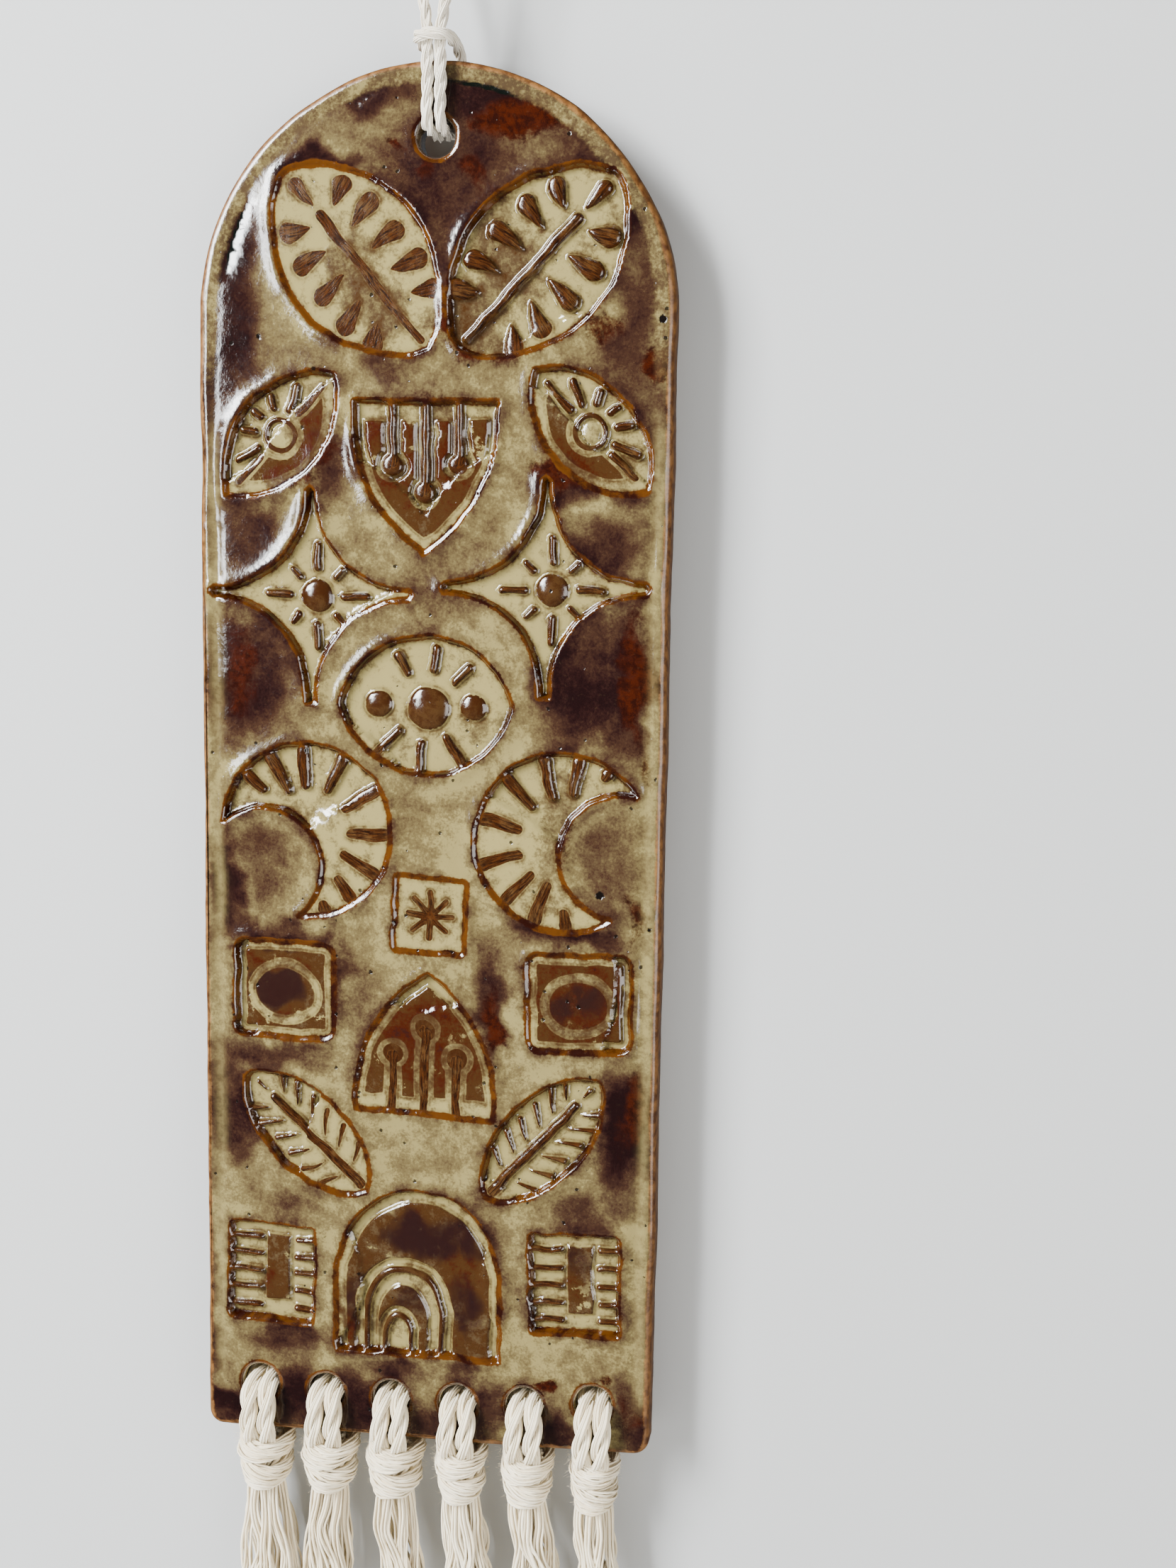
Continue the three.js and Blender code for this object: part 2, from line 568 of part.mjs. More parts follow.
function tasselGeometry(i) {
  const { x, z } = tasselHole(i);
  const reach = tasselRope + clearance;
  const knotTop = bottomAt(x) - clearance - 0.3;
  const inKnot = knotTop - tasselKnotHeight * 0.45;
  const middle = slabThickness / 2;
  const path = new THREE.CatmullRomCurve3([
    [0.35 * -reach, inKnot], [-reach, knotTop + 0.6], [-reach - 0.3, z - 6], [-reach - 0.1, z - 2.2],
    [-reach * 0.6, z - 0.4], [0.8, z], [middle, z], [slabThickness - 0.8, z],
    [slabThickness + reach * 0.6, z - 0.4], [slabThickness + reach + 0.1, z - 2.2],
    [slabThickness + reach + 0.1, z - 6], [slabThickness + reach, knotTop + 0.6],
    [slabThickness - 0.35 * reach, inKnot],
  ].map(([y, height]) => new THREE.Vector3(0, y, height)), false, 'centripetal');
  const along = { steps: tasselRopeSteps, bevelEnabled: false, extrudePath: path };
  const ropes = new THREE.ExtrudeGeometry(ropeSection(tasselRope, tasselRope), along);
  const knot = tasselKnotWidth / 2;
  const waist = tasselWaist / 2;
  const skirt = tasselSkirtWidth / 2;
  const low = -tasselKnotHeight - tasselSkirtLength;
  const gather = latheAlongZ([
    [0, low], [skirt * 0.85, low + 1], [skirt, low * 0.8], [skirt * 0.86, low * 0.5],
    [waist, -tasselKnotHeight - 1], [waist * 1.12, -0.7 * tasselKnotHeight], [knot, -0.35 * tasselKnotHeight],
    [knot * 0.86, -0.06 * tasselKnotHeight], [0, 0],
  ], tasselSides);
  gather.scale(1, tasselDepth, 1);
  gather.translate(0, middle, knotTop);
  return toGeometry(toManifold(ropes).add(toManifold(gather)).translate([x, 0, 0]));
}

function node(name, geometry, material) {
  const mesh = new THREE.Mesh(geometry, material);
  mesh.name = name;
  return mesh;
}

const plaque = new THREE.Group();
plaque.add(node('plaque', plaqueGeometry(), glaze));
plaque.add(node('hanging_cord', hangingCordGeometry(), cotton));
plaque.add(node('hanging_knot', hangingKnotGeometry(), cotton));
for (let i = 0; i < tasselCount; i += 1) {
  plaque.add(node(`tassel_${i + 1}`, tasselGeometry(i), cotton));
}
plaque.position.z = -slabTop - pegAboveTop;

export default plaque;
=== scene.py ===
# Wall hanging: an arched slab of glazed stoneware pressed with carved blocks, its cord and six tassels.
# The frame is in metres: x right, y into the wall, z up, with the origin where the loop rests on its peg.
import bpy
import json
import numpy as np
from math import atan2, cos, degrees, pi, radians, sin, sqrt
from mathutils import Matrix, Vector
from mathutils.geometry import delaunay_2d_cdt

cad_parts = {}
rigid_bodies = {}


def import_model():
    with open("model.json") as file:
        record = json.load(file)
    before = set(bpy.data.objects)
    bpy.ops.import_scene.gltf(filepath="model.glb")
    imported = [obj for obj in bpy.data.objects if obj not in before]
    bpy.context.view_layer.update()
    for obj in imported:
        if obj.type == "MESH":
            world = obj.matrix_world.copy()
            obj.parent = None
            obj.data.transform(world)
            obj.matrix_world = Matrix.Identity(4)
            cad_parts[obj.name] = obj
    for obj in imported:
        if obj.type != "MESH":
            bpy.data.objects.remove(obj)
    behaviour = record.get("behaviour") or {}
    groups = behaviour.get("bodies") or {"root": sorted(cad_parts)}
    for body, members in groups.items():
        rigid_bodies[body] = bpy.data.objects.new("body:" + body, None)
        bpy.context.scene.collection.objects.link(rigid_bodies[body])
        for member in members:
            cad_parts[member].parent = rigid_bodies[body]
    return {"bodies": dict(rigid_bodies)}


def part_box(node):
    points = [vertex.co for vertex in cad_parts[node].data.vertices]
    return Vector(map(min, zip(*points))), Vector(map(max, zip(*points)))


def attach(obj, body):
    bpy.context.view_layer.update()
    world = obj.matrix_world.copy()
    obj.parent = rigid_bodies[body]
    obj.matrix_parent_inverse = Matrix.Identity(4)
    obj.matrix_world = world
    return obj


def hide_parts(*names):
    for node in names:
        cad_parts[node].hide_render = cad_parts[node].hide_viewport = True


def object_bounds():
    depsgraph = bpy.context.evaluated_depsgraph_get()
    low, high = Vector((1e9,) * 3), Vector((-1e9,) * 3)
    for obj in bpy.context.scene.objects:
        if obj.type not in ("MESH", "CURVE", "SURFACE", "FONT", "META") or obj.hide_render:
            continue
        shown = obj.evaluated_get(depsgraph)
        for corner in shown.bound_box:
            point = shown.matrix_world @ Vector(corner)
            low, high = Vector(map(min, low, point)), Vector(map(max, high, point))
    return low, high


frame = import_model()
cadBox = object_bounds()

mm = 0.001
slabLow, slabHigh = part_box("plaque")
slab = {
    "width": (slabHigh[0] - slabLow[0]) / mm,
    "thickness": (slabHigh[1] - slabLow[1]) / mm,
    "top": 275.4,  # crown of the arch, above the level that heights on the slab are measured from
    "bottomDrop": 3,  # how far the left end of the bottom edge lies below that level
    "bottomSlope": 2.4,  # how much higher its right end is
}
datum = slabHigh[2] - slab["top"] * mm


# Small helpers

def srgb(red, green, blue):
    def linear(value):
        share = value / 255
        return share / 12.92 if share < 0.04045 else ((share + 0.055) / 1.055) ** 2.4
    return (linear(red), linear(green), linear(blue), 1)


def feed(tree, made, inputs):
    # Links or sets each input of a node, by its name or number
    for name, value in inputs.items():
        if isinstance(value, bpy.types.NodeSocket):
            tree.links.new(value, made.inputs[name])
        else:
            made.inputs[name].default_value = value
    return made.outputs


def addNode(tree, kind, inputs=None, **settings):
    made = tree.nodes.new(kind)
    for name, value in settings.items():
        setattr(made, name, value)
    feed(tree, made, inputs or {})
    return made


def maths(tree, operation, first, second=0.0, third=0.0):
    used = {0: first, 1: second, 2: third}
    return addNode(tree, "ShaderNodeMath", used, operation=operation).outputs[0]


def times(tree, first, second):
    return maths(tree, "MULTIPLY", first, second)


def vectorMaths(tree, operation, first, second=(0, 0, 0)):
    made = addNode(tree, "ShaderNodeVectorMath", {0: first, 1: second}, operation=operation)
    return made.outputs["Value" if operation in ("DOT_PRODUCT", "LENGTH") else "Vector"]


def scaled(tree, vector, factor):
    made = addNode(tree, "ShaderNodeVectorMath", {"Vector": vector, "Scale": factor}, operation="SCALE")
    return made.outputs["Vector"]


def mixed(tree, factor, first, second):
    return addNode(tree, "ShaderNodeMix", {0: factor, 6: first, 7: second}, data_type="RGBA").outputs[2]


def stepped(tree, value, low, high, atLow=0.0, atHigh=1.0):
    used = {"Value": value, "From Min": low, "From Max": high, "To Min": atLow, "To Max": atHigh}
    return addNode(tree, "ShaderNodeMapRange", used, interpolation_type="SMOOTHSTEP").outputs[0]


def noise(tree, vector, size, detail=3.0, roughness=0.55, distortion=0.0):
    used = {"Vector": vector, "Scale": 1 / size, "Detail": detail, "Roughness": roughness,
            "Distortion": distortion}
    return addNode(tree, "ShaderNodeTexNoise", used).outputs["Fac"]


def attribute(tree, name):
    return addNode(tree, "ShaderNodeAttribute", attribute_name=name)


def bumped(tree, height, strength, distance):
    used = {"Strength": strength, "Distance": distance, "Height": height}
    return addNode(tree, "ShaderNodeBump", used).outputs[0]


def newMaterial(name):
    material = bpy.data.materials.new(name)
    material.use_nodes = True
    return material, material.node_tree, material.node_tree.nodes["Principled BSDF"]


def shaderGroup(name, inputs, outputs):
    tree = bpy.data.node_groups.new(name, "ShaderNodeTree")
    for title, kind, value in inputs:
        tree.interface.new_socket(title, in_out="INPUT", socket_type=kind).default_value = value
    for title, kind in outputs:
        tree.interface.new_socket(title, in_out="OUTPUT", socket_type=kind)
    return tree, tree.nodes.new("NodeGroupInput").outputs, tree.nodes.new("NodeGroupOutput").inputs


def placeGroup(tree, group, inputs):
    made = tree.nodes.new("ShaderNodeGroup")
    made.node_tree = group
    return feed(tree, made, inputs)


def addObject(name, data):
    made = bpy.data.objects.new(name, data)
    bpy.context.scene.collection.objects.link(made)
    return made


def soft(value, low, high):
    share = np.clip((value - low) / (high - low), 0, 1)
    return share * share * (3 - 2 * share)


def smoothPath(points, step):
    # Centripetal Catmull-Rom curve through the points, in steps of about the given length
    points = np.array(points, float)
    padded = np.vstack([2 * points[0] - points[1], points, 2 * points[-1] - points[-2]])
    found = []
    for p0, p1, p2, p3 in zip(padded, padded[1:], padded[2:], padded[3:]):
        gaps = [max(np.linalg.norm(b - a), 1e-9) ** 0.5 for a, b in ((p0, p1), (p1, p2), (p2, p3))]
        t0, t1, t2, t3 = np.cumsum([0] + gaps)
        count = max(2, int(np.ceil(np.linalg.norm(p2 - p1) / step)))
        t = np.linspace(t1, t2, count, endpoint=False)[:, None]
        a1 = (t1 - t) / (t1 - t0) * p0 + (t - t0) / (t1 - t0) * p1
        a2 = (t2 - t) / (t2 - t1) * p1 + (t - t1) / (t2 - t1) * p2
        a3 = (t3 - t) / (t3 - t2) * p2 + (t - t2) / (t3 - t2) * p3
        b1 = (t2 - t) / (t2 - t0) * a1 + (t - t0) / (t2 - t0) * a2
        b2 = (t3 - t) / (t3 - t1) * a2 + (t - t1) / (t3 - t1) * a3
        found.append((t2 - t) / (t2 - t1) * b1 + (t - t1) / (t2 - t1) * b2)
    return np.vstack(found + [points[-1:]])


def carriedAxis(line, first):
    # An axis across the line, carried along it without twisting
    tangents = np.gradient(line, axis=0)
    tangents /= np.linalg.norm(tangents, axis=1)[:, None]
    axes = [np.array(first, float)]
    for tangent in tangents:
        turned = axes[-1] - tangent * np.dot(axes[-1], tangent)
        axes.append(turned / np.linalg.norm(turned))
    return np.array(axes[1:])


# Camera, standing a little to the right of the slab and turned to it as the photographer was

photographer = {
    "place": (0.08792, -0.33506, -0.13341),
    "right": (0.98599272, 0.16581373, 0.01800449),
    "up": (-0.03841853, 0.12074408, 0.99193996),
    "lens": 40,
    "film": 36,
}


def makeCamera():
    data = bpy.data.cameras.new("camera")
    data.lens = photographer["lens"]
    data.sensor_width = photographer["film"]
    data.clip_start = 0.01
    made = addObject("camera", data)
    right = Vector(photographer["right"])
    up = Vector(photographer["up"])
    turn = Matrix((right, up, right.cross(up))).transposed()
    made.matrix_world = Matrix.Translation(photographer["place"]) @ turn.to_4x4()
    bpy.context.scene.camera = made


makeCamera()
print("camera placed")


# Cotton

cottonSizes = {
    "fibre": 0.00012,
    "twist": 3.0,  # turns of fibre around a yarn, for each millimetre of it
    "bump": 0.5,
    "sheenRoughness": 0.5,
    "specular": 0.25,
}
cottonKinds = {
    "cord": {"white": srgb(250, 244, 230), "shade": srgb(218, 204, 178), "roughness": 0.88, "sheen": 0.3},
    "tassel": {"white": srgb(252, 241, 215), "shade": srgb(216, 195, 152), "roughness": 0.92, "sheen": 0.4},
}


def yarnFibreGroup():
    tree, given, out = shaderGroup(
        "yarn fibre",
        [(title, "NodeSocketFloat", value)
         for title, value in (("Along", 0), ("Around", 0), ("Fibre", 0.0001), ("Twist", 3))],
        [("Height", "NodeSocketFloat"), ("Fluff", "NodeSocketFloat")],
    )
    place = addNode(tree, "ShaderNodeTexCoord").outputs["Object"]
    turns = times(tree, given["Along"], given["Twist"])
    phase = times(tree, maths(tree, "ADD", turns, given["Around"]), 2 * pi)
    ridges = maths(tree, "SINE", times(tree, phase, 3))
    fineness = maths(tree, "DIVIDE", 1.0, given["Fibre"])
    fuzz = addNode(tree, "ShaderNodeTexNoise", {"Vector": place, "Detail": 4.0, "Scale": fineness})
    height = maths(tree, "MULTIPLY_ADD", ridges, 0.3, fuzz.outputs["Fac"])
    tree.links.new(height, out["Height"])
    tree.links.new(noise(tree, place, 0.004, 2.0), out["Fluff"])
    return tree


def cottonMaterial(kind):
    material, tree, skin = newMaterial(f"{kind} cotton")
    white, shade = cottonKinds[kind]["white"], cottonKinds[kind]["shade"]
    strand = attribute(tree, "strand")
    along, around, tone = addNode(tree, "ShaderNodeSeparateXYZ", {0: strand.outputs["Vector"]}).outputs
    fibre = placeGroup(tree, yarnFibre, {
        "Along": along, "Around": around, "Fibre": cottonSizes["fibre"], "Twist": cottonSizes["twist"],
    })
    colour = mixed(tree, times(tree, tone, 0.55), white, shade)
    cloud = stepped(tree, fibre["Fluff"], 0.35, 0.75, 0.0, 0.35)
    colour = mixed(tree, cloud, colour, shade)
    feed(tree, skin, {
        "Base Color": colour,
        "Normal": bumped(tree, fibre["Height"], cottonSizes["bump"], cottonSizes["fibre"]),
        "Roughness": cottonKinds[kind]["roughness"],
        "Sheen Weight": cottonKinds[kind]["sheen"],
        "Sheen Roughness": cottonSizes["sheenRoughness"],
        "Specular IOR Level": cottonSizes["specular"],
    })
    return material


yarnFibre = yarnFibreGroup()
cordCotton = cottonMaterial("cord")
tasselCotton = cottonMaterial("tassel")


# Yarn: a tree that lays plies of twisted yarns along guide lines. Each guide point holds an axis across the
# line, how wide and how thick the bundle is there, and how loose its yarns hang.

yarnInputs = [
    ("Plies", "NodeSocketInt", 3), ("Yarns", "NodeSocketInt", 6), ("Ply Spread", "NodeSocketFloat", 0.0006),
    ("Yarn Spread", "NodeSocketFloat", 0.0004), ("Ply Pitch", "NodeSocketFloat", 0.009),
    ("Yarn Pitch", "NodeSocketFloat", -0.02), ("Yarn Radius", "NodeSocketFloat", 0.0002),
    ("Step", "NodeSocketFloat", 0.001), ("Stray", "NodeSocketFloat", 0.0001),
    ("Stray Size", "NodeSocketFloat", 0.01), ("Uneven Ends", "NodeSocketFloat", 0.0),
    ("Sides", "NodeSocketInt", 6), ("Seed", "NodeSocketInt", 1),
]


def named(tree, name, kind="FLOAT_VECTOR"):
    made = addNode(tree, "GeometryNodeInputNamedAttribute", {"Name": name}, data_type=kind)
    return made.outputs["Attribute"]


def stored(tree, geometry, name, value, kind="FLOAT"):
    used = {"Geometry": geometry, "Name": name, "Value": value}
    return addNode(tree, "GeometryNodeStoreNamedAttribute", used, data_type=kind).outputs[0]


def wholeMaths(tree, operation, first, second):
    return addNode(tree, "FunctionNodeIntegerMath", {0: first, 1: second}, operation=operation).outputs[0]


def random(tree, low, high, index, seed):
    made = addNode(tree, "FunctionNodeRandomValue", {2: low, 3: high, "ID": index, "Seed": seed})
    return made.outputs[1]


def onEllipse(tree, wide, thick, angle, radius):
    across = scaled(tree, wide, times(tree, radius, maths(tree, "COSINE", angle)))
    outward = scaled(tree, thick, times(tree, radius, maths(tree, "SINE", angle)))
    return vectorMaths(tree, "ADD", across, outward)


def yarnTree():
    tree = bpy.data.node_groups.new("yarn along guides", "GeometryNodeTree")
    tree.interface.new_socket("Guides", in_out="INPUT", socket_type="NodeSocketGeometry")
    for title, kind, value in yarnInputs:
        tree.interface.new_socket(title, in_out="INPUT", socket_type=kind).default_value = value
    tree.interface.new_socket("Cotton", in_out="INPUT", socket_type="NodeSocketMaterial")
    tree.interface.new_socket("Yarns", in_out="OUTPUT", socket_type="NodeSocketGeometry")
    given = tree.nodes.new("NodeGroupInput").outputs
    lines = addNode(tree, "GeometryNodeMeshToCurve", {"Mesh": given["Guides"]}).outputs[0]
    even = addNode(tree, "GeometryNodeResampleCurve", {
        "Curve": lines, "Length": given["Step"]}, mode="LENGTH")
    copies = addNode(tree, "GeometryNodeDuplicateElements", {
        "Geometry": even.outputs[0],
        "Amount": wholeMaths(tree, "MULTIPLY", given["Plies"], given["Yarns"])}, domain="SPLINE")
    index = copies.outputs["Duplicate Index"]
    distance = addNode(tree, "GeometryNodeSplineParameter").outputs["Length"]

    # Two axes across the line, stretched to the bundle's width and thickness
    tangent = addNode(tree, "GeometryNodeInputTangent").outputs[0]
    axis = named(tree, "axis")
    lean = scaled(tree, tangent, vectorMaths(tree, "DOT_PRODUCT", axis, tangent))
    wide = vectorMaths(tree, "NORMALIZE", vectorMaths(tree, "SUBTRACT", axis, lean))
    thick = vectorMaths(tree, "CROSS_PRODUCT", tangent, wide)
    width, thickness, loose = addNode(tree, "ShaderNodeSeparateXYZ", {0: named(tree, "bundle")}).outputs
    wide = scaled(tree, wide, width)
    thick = scaled(tree, thick, thickness)

    # Which ply and which yarn this copy is, and how far each has turned here
    ply = wholeMaths(tree, "DIVIDE_FLOOR", index, given["Yarns"])
    yarn = wholeMaths(tree, "MODULO", index, given["Yarns"])
    plyTurn = maths(tree, "ADD", maths(tree, "DIVIDE", ply, given["Plies"]),
                    maths(tree, "DIVIDE", distance, given["Ply Pitch"]))
    plyTurn = times(tree, plyTurn, 2 * pi)
    yarnTurn = maths(tree, "ADD", times(tree, yarn, 0.381966),
                     maths(tree, "DIVIDE", distance, given["Yarn Pitch"]))
    yarnTurn = times(tree, yarnTurn, 2 * pi)
    fill = maths(tree, "SQRT", maths(tree, "DIVIDE", maths(tree, "ADD", yarn, 0.5), given["Yarns"]))
    plyAt = onEllipse(tree, wide, thick, plyTurn, given["Ply Spread"])
    yarnAt = onEllipse(tree, wide, thick, yarnTurn, times(tree, given["Yarn Spread"], fill))

    # Loose yarns wander, each in its own way
    strandId = maths(tree, "ADD", times(tree, index, 3.7), given["Seed"])
    wander = addNode(tree, "ShaderNodeTexNoise", {
        "Vector": addNode(tree, "GeometryNodeInputPosition").outputs[0], "W": strandId,
        "Scale": maths(tree, "DIVIDE", 1.0, given["Stray Size"]), "Detail": 1.0}, noise_dimensions="4D")
    swing = vectorMaths(tree, "SUBTRACT", wander.outputs["Color"], (0.5, 0.5, 0.5))
    swing = scaled(tree, swing, times(tree, given["Stray"], loose))
    offset = vectorMaths(tree, "ADD", vectorMaths(tree, "ADD", plyAt, yarnAt), swing)
    tone = random(tree, 0.0, 1.0, index, given["Seed"])
    moved = addNode(tree, "GeometryNodeSetPosition", {"Geometry": copies.outputs[0], "Offset": offset})
    measured = stored(tree, stored(tree, moved.outputs[0], "tone", tone), "along", distance)
    cutBack = maths(tree, "SUBTRACT", 1.0, times(tree, tone, given["Uneven Ends"]))
    cut = addNode(tree, "GeometryNodeTrimCurve", {"Curve": measured, "End": cutBack})

    # Each yarn becomes a tube that carries its place along and around it
    ring = addNode(tree, "GeometryNodeCurvePrimitiveCircle", {
        "Resolution": given["Sides"], "Radius": 1.0}, mode="RADIUS")
    factor = addNode(tree, "GeometryNodeSplineParameter").outputs["Factor"]
    turned = stored(tree, ring.outputs[0], "around", factor)
    swell = random(tree, 0.85, 1.15, index, maths(tree, "ADD", given["Seed"], 5))
    tubes = addNode(tree, "GeometryNodeCurveToMesh", {
        "Curve": cut.outputs[0], "Profile Curve": turned,
        "Scale": times(tree, given["Yarn Radius"], swell), "Fill Caps": True})
    strand = addNode(tree, "ShaderNodeCombineXYZ", {
        0: times(tree, named(tree, "along", "FLOAT"), 1000.0), 1: named(tree, "around", "FLOAT"),
        2: named(tree, "tone", "FLOAT")})
    marked = stored(tree, tubes.outputs[0], "strand", strand.outputs[0], "FLOAT_VECTOR")
    smooth = addNode(tree, "GeometryNodeSetShadeSmooth", {"Geometry": marked})
    real = addNode(tree, "GeometryNodeRealizeInstances", {"Geometry": smooth.outputs[0]})
    dressed = addNode(tree, "GeometryNodeSetMaterial", {
        "Geometry": real.outputs[0], "Material": given["Cotton"]})
    out = tree.nodes.new("NodeGroupOutput")
    tree.links.new(dressed.outputs[0], out.inputs["Yarns"])
    return tree


def guide(line, axis, width=1.0, thickness=1.0, loose=1.0):
    # A guide line with its axis and the bundle's width, thickness and looseness: one value, or one per point
    line = np.array(line, float)
    count = len(line)
    return {
        "line": line,
        "axis": np.broadcast_to(np.array(axis, float), (count, 3)),
        "bundle": np.stack([np.broadcast_to(value, count) for value in (width, thickness, loose)], axis=1),
    }


def spinYarns(name, guides, sizes, cotton):
    mesh = bpy.data.meshes.new(name)
    starts = np.cumsum([0] + [len(g["line"]) for g in guides])
    edges = [(i, i + 1) for a, b in zip(starts, starts[1:]) for i in range(a, b - 1)]
    mesh.from_pydata(np.vstack([g["line"] for g in guides]).tolist(), edges, [])
    for title in ("axis", "bundle"):
        values = np.vstack([g[title] for g in guides]).astype(np.float32)
        mesh.attributes.new(title, "FLOAT_VECTOR", "POINT").data.foreach_set("vector", values.ravel())
    made = addObject(name, mesh)
    modifier = made.modifiers.new("yarns", "NODES")
    modifier.node_group = yarnsAlongGuides
    sockets = {s.name: s.identifier for s in yarnsAlongGuides.interface.items_tree if s.in_out == "INPUT"}
    for title, value in sizes.items():
        modifier[sockets[title]] = value
    modifier[sockets["Cotton"]] = cotton
    bpy.context.view_layer.update()
    baked = bpy.data.meshes.new_from_object(made.evaluated_get(bpy.context.evaluated_depsgraph_get()))
    made.modifiers.clear()
    made.data = baked
    bpy.data.meshes.remove(mesh)
    return made


def joined(name, parts):
    # One object from several, with their meshes put together
    chosen = {"active_object": parts[0], "selected_editable_objects": parts, "selected_objects": parts}
    with bpy.context.temp_override(**chosen):
        bpy.ops.object.join()
    parts[0].name = name
    parts[0].data.name = name
    return parts[0]


yarnsAlongGuides = yarnTree()


# Hanging cord: one three-ply cord, knotted over the peg, down to a bar across its own two strands above the
# slab, and from there behind the slab, through the hole and up its front

hangingCord = {
    "diameter": 2.4,
    "clearance": 0.3,
    "holeRadius": 3.65,
    "holeBelowTop": 14.1,
    "holeX": 0.6,
    "pegAboveTop": 39.1,
    "pegRadius": 6.6,
    "yarns": {
        "Plies": 3, "Yarns": 13, "Ply Spread": 0.00058, "Yarn Spread": 0.00056, "Ply Pitch": 0.0115,
        "Yarn Pitch": -0.05, "Yarn Radius": 0.00016, "Step": 0.001, "Stray": 0.00016, "Stray Size": 0.004,
        "Sides": 6, "Seed": 4,
    },
}


def hangingRoute():
    diameter = hangingCord["diameter"]
    strand = diameter / 2 + 0.05
    off = diameter / 2 + hangingCord["clearance"]
    deep = slab["thickness"]
    back = deep + off
    top = slab["top"]
    radius = hangingCord["holeRadius"]
    lip = top - hangingCord["holeBelowTop"] + sqrt(radius ** 2 - strand ** 2)
    bend = off + 0.3
    peg = top + hangingCord["pegAboveTop"]
    wrap = hangingCord["pegRadius"] + diameter / 2

    def onPeg(angle):
        return (-wrap * sin(radians(angle)), 0, peg - hangingCord["pegRadius"] + wrap * cos(radians(angle)))

    half = [
        (-strand - 0.1, 0, peg + 2.9), (-2.6, 0, peg + 1.2), onPeg(38), onPeg(62), onPeg(86),
        (-6.5, -0.1, peg - 11), (-4.1, -0.5, peg - 19), (-2.3, -1, peg - 27.5),
        (-1.25, -off, top + 5.2), (-strand, -off, top + 1), (-strand, -off, top - 5),
        (-strand, -off, lip + 0.2), (-strand, -bend * 0.7, lip - bend * 0.7), (-strand, 0.2, lip - bend),
        (-strand, deep / 2, lip - bend), (-strand, deep - 0.2, lip - bend),
        (-strand, deep + bend * 0.7, lip - bend * 0.7), (-strand - 0.1, back, lip + 0.2),
        (-1.8, back, top - 6), (-2.8, back - 0.2, top - 0.5), (-3.2, deep - 1, top + 2.6),
        (-3.2, 2.4, top + 3.4), (-3.0, -1.6, top + 3.6), (-2.0, -3.5, top + 3.7),
    ]
    middle = (0, -off - diameter + 0.1, top + 3.7)
    other = [(-x, y, z) for x, y, z in reversed(half)]
    return [(x + hangingCord["holeX"], y, z) for x, y, z in half + [middle] + other]


def toFrame(points):
    return np.array(points, float) * mm + (0, 0, datum)


cordRoute = smoothPath(toFrame(hangingRoute()), 0.0006)
cordGuide = guide(cordRoute, carriedAxis(cordRoute, (0, 1, 0)))
cord = spinYarns("hanging_cord_yarns", [cordGuide], hangingCord["yarns"], cordCotton)


# Knot above the peg: one end of the cord coils twice around the other, and both stand up, short and frayed

hangingKnot = {
    "coilRadius": 2.35,
    "coilFrom": 5.4,
    "coilRise": 5.2,
    "coilTurns": 2.15,
    "endHeights": (16.6, 15.4),
    "yarns": {**hangingCord["yarns"], "Stray": 0.0006, "Uneven Ends": 0.12, "Seed": 9},
}


def knotGuides():
    x = hangingCord["holeX"]
    radius, start, rise = hangingKnot["coilRadius"], hangingKnot["coilFrom"], hangingKnot["coilRise"]
    highLeft, highRight = hangingKnot["endHeights"]
    coil = []
    for angle in np.linspace(0, 360 * hangingKnot["coilTurns"], 22):
        tilt = 0.9 * sin(radians(angle - 40))
        up = start + rise * angle / (360 * hangingKnot["coilTurns"]) + tilt
        coil.append((x - radius * cos(radians(angle)), -radius * sin(radians(angle)), up))
    left = [(x - 1.3, 0, 2.6), (x - 1.9, 0, 4)] + coil
    left += [(x - 1.3, 0.9, start + rise + 1.6), (x - 1.2, 0.3, start + rise + 3), (x - 2.1, 0, highLeft)]
    right = [(x + 1.3, 0, 2.6), (x + 0.7, 0, 4.6), (x + 0.2, 0, 8), (x + 0.5, 0, start + rise + 1)]
    right += [(x + 1.2, -0.2, start + rise + 3), (x + 1.5, -0.3, highRight)]
    guides = []
    for route in (left, right):
        line = smoothPath(np.array(route) * mm, 0.0006)
        fray = soft(np.linspace(0, 1, len(line)), 0.86, 1)
        guides.append(guide(line, carriedAxis(line, (0, 1, 0)), 1 + 0.7 * fray, 1 + 0.7 * fray, 0.15 + fray))
    return guides


knot = spinYarns("hanging_knot_yarns", knotGuides(), hangingKnot["yarns"], cordCotton)
print("knot above the peg:", len(knot.data.polygons), "faces")


# Tassels: two ropes folded through each hole, bound in a knot under the edge, and frayed into a skirt.
# Heights count down from the knot's top.

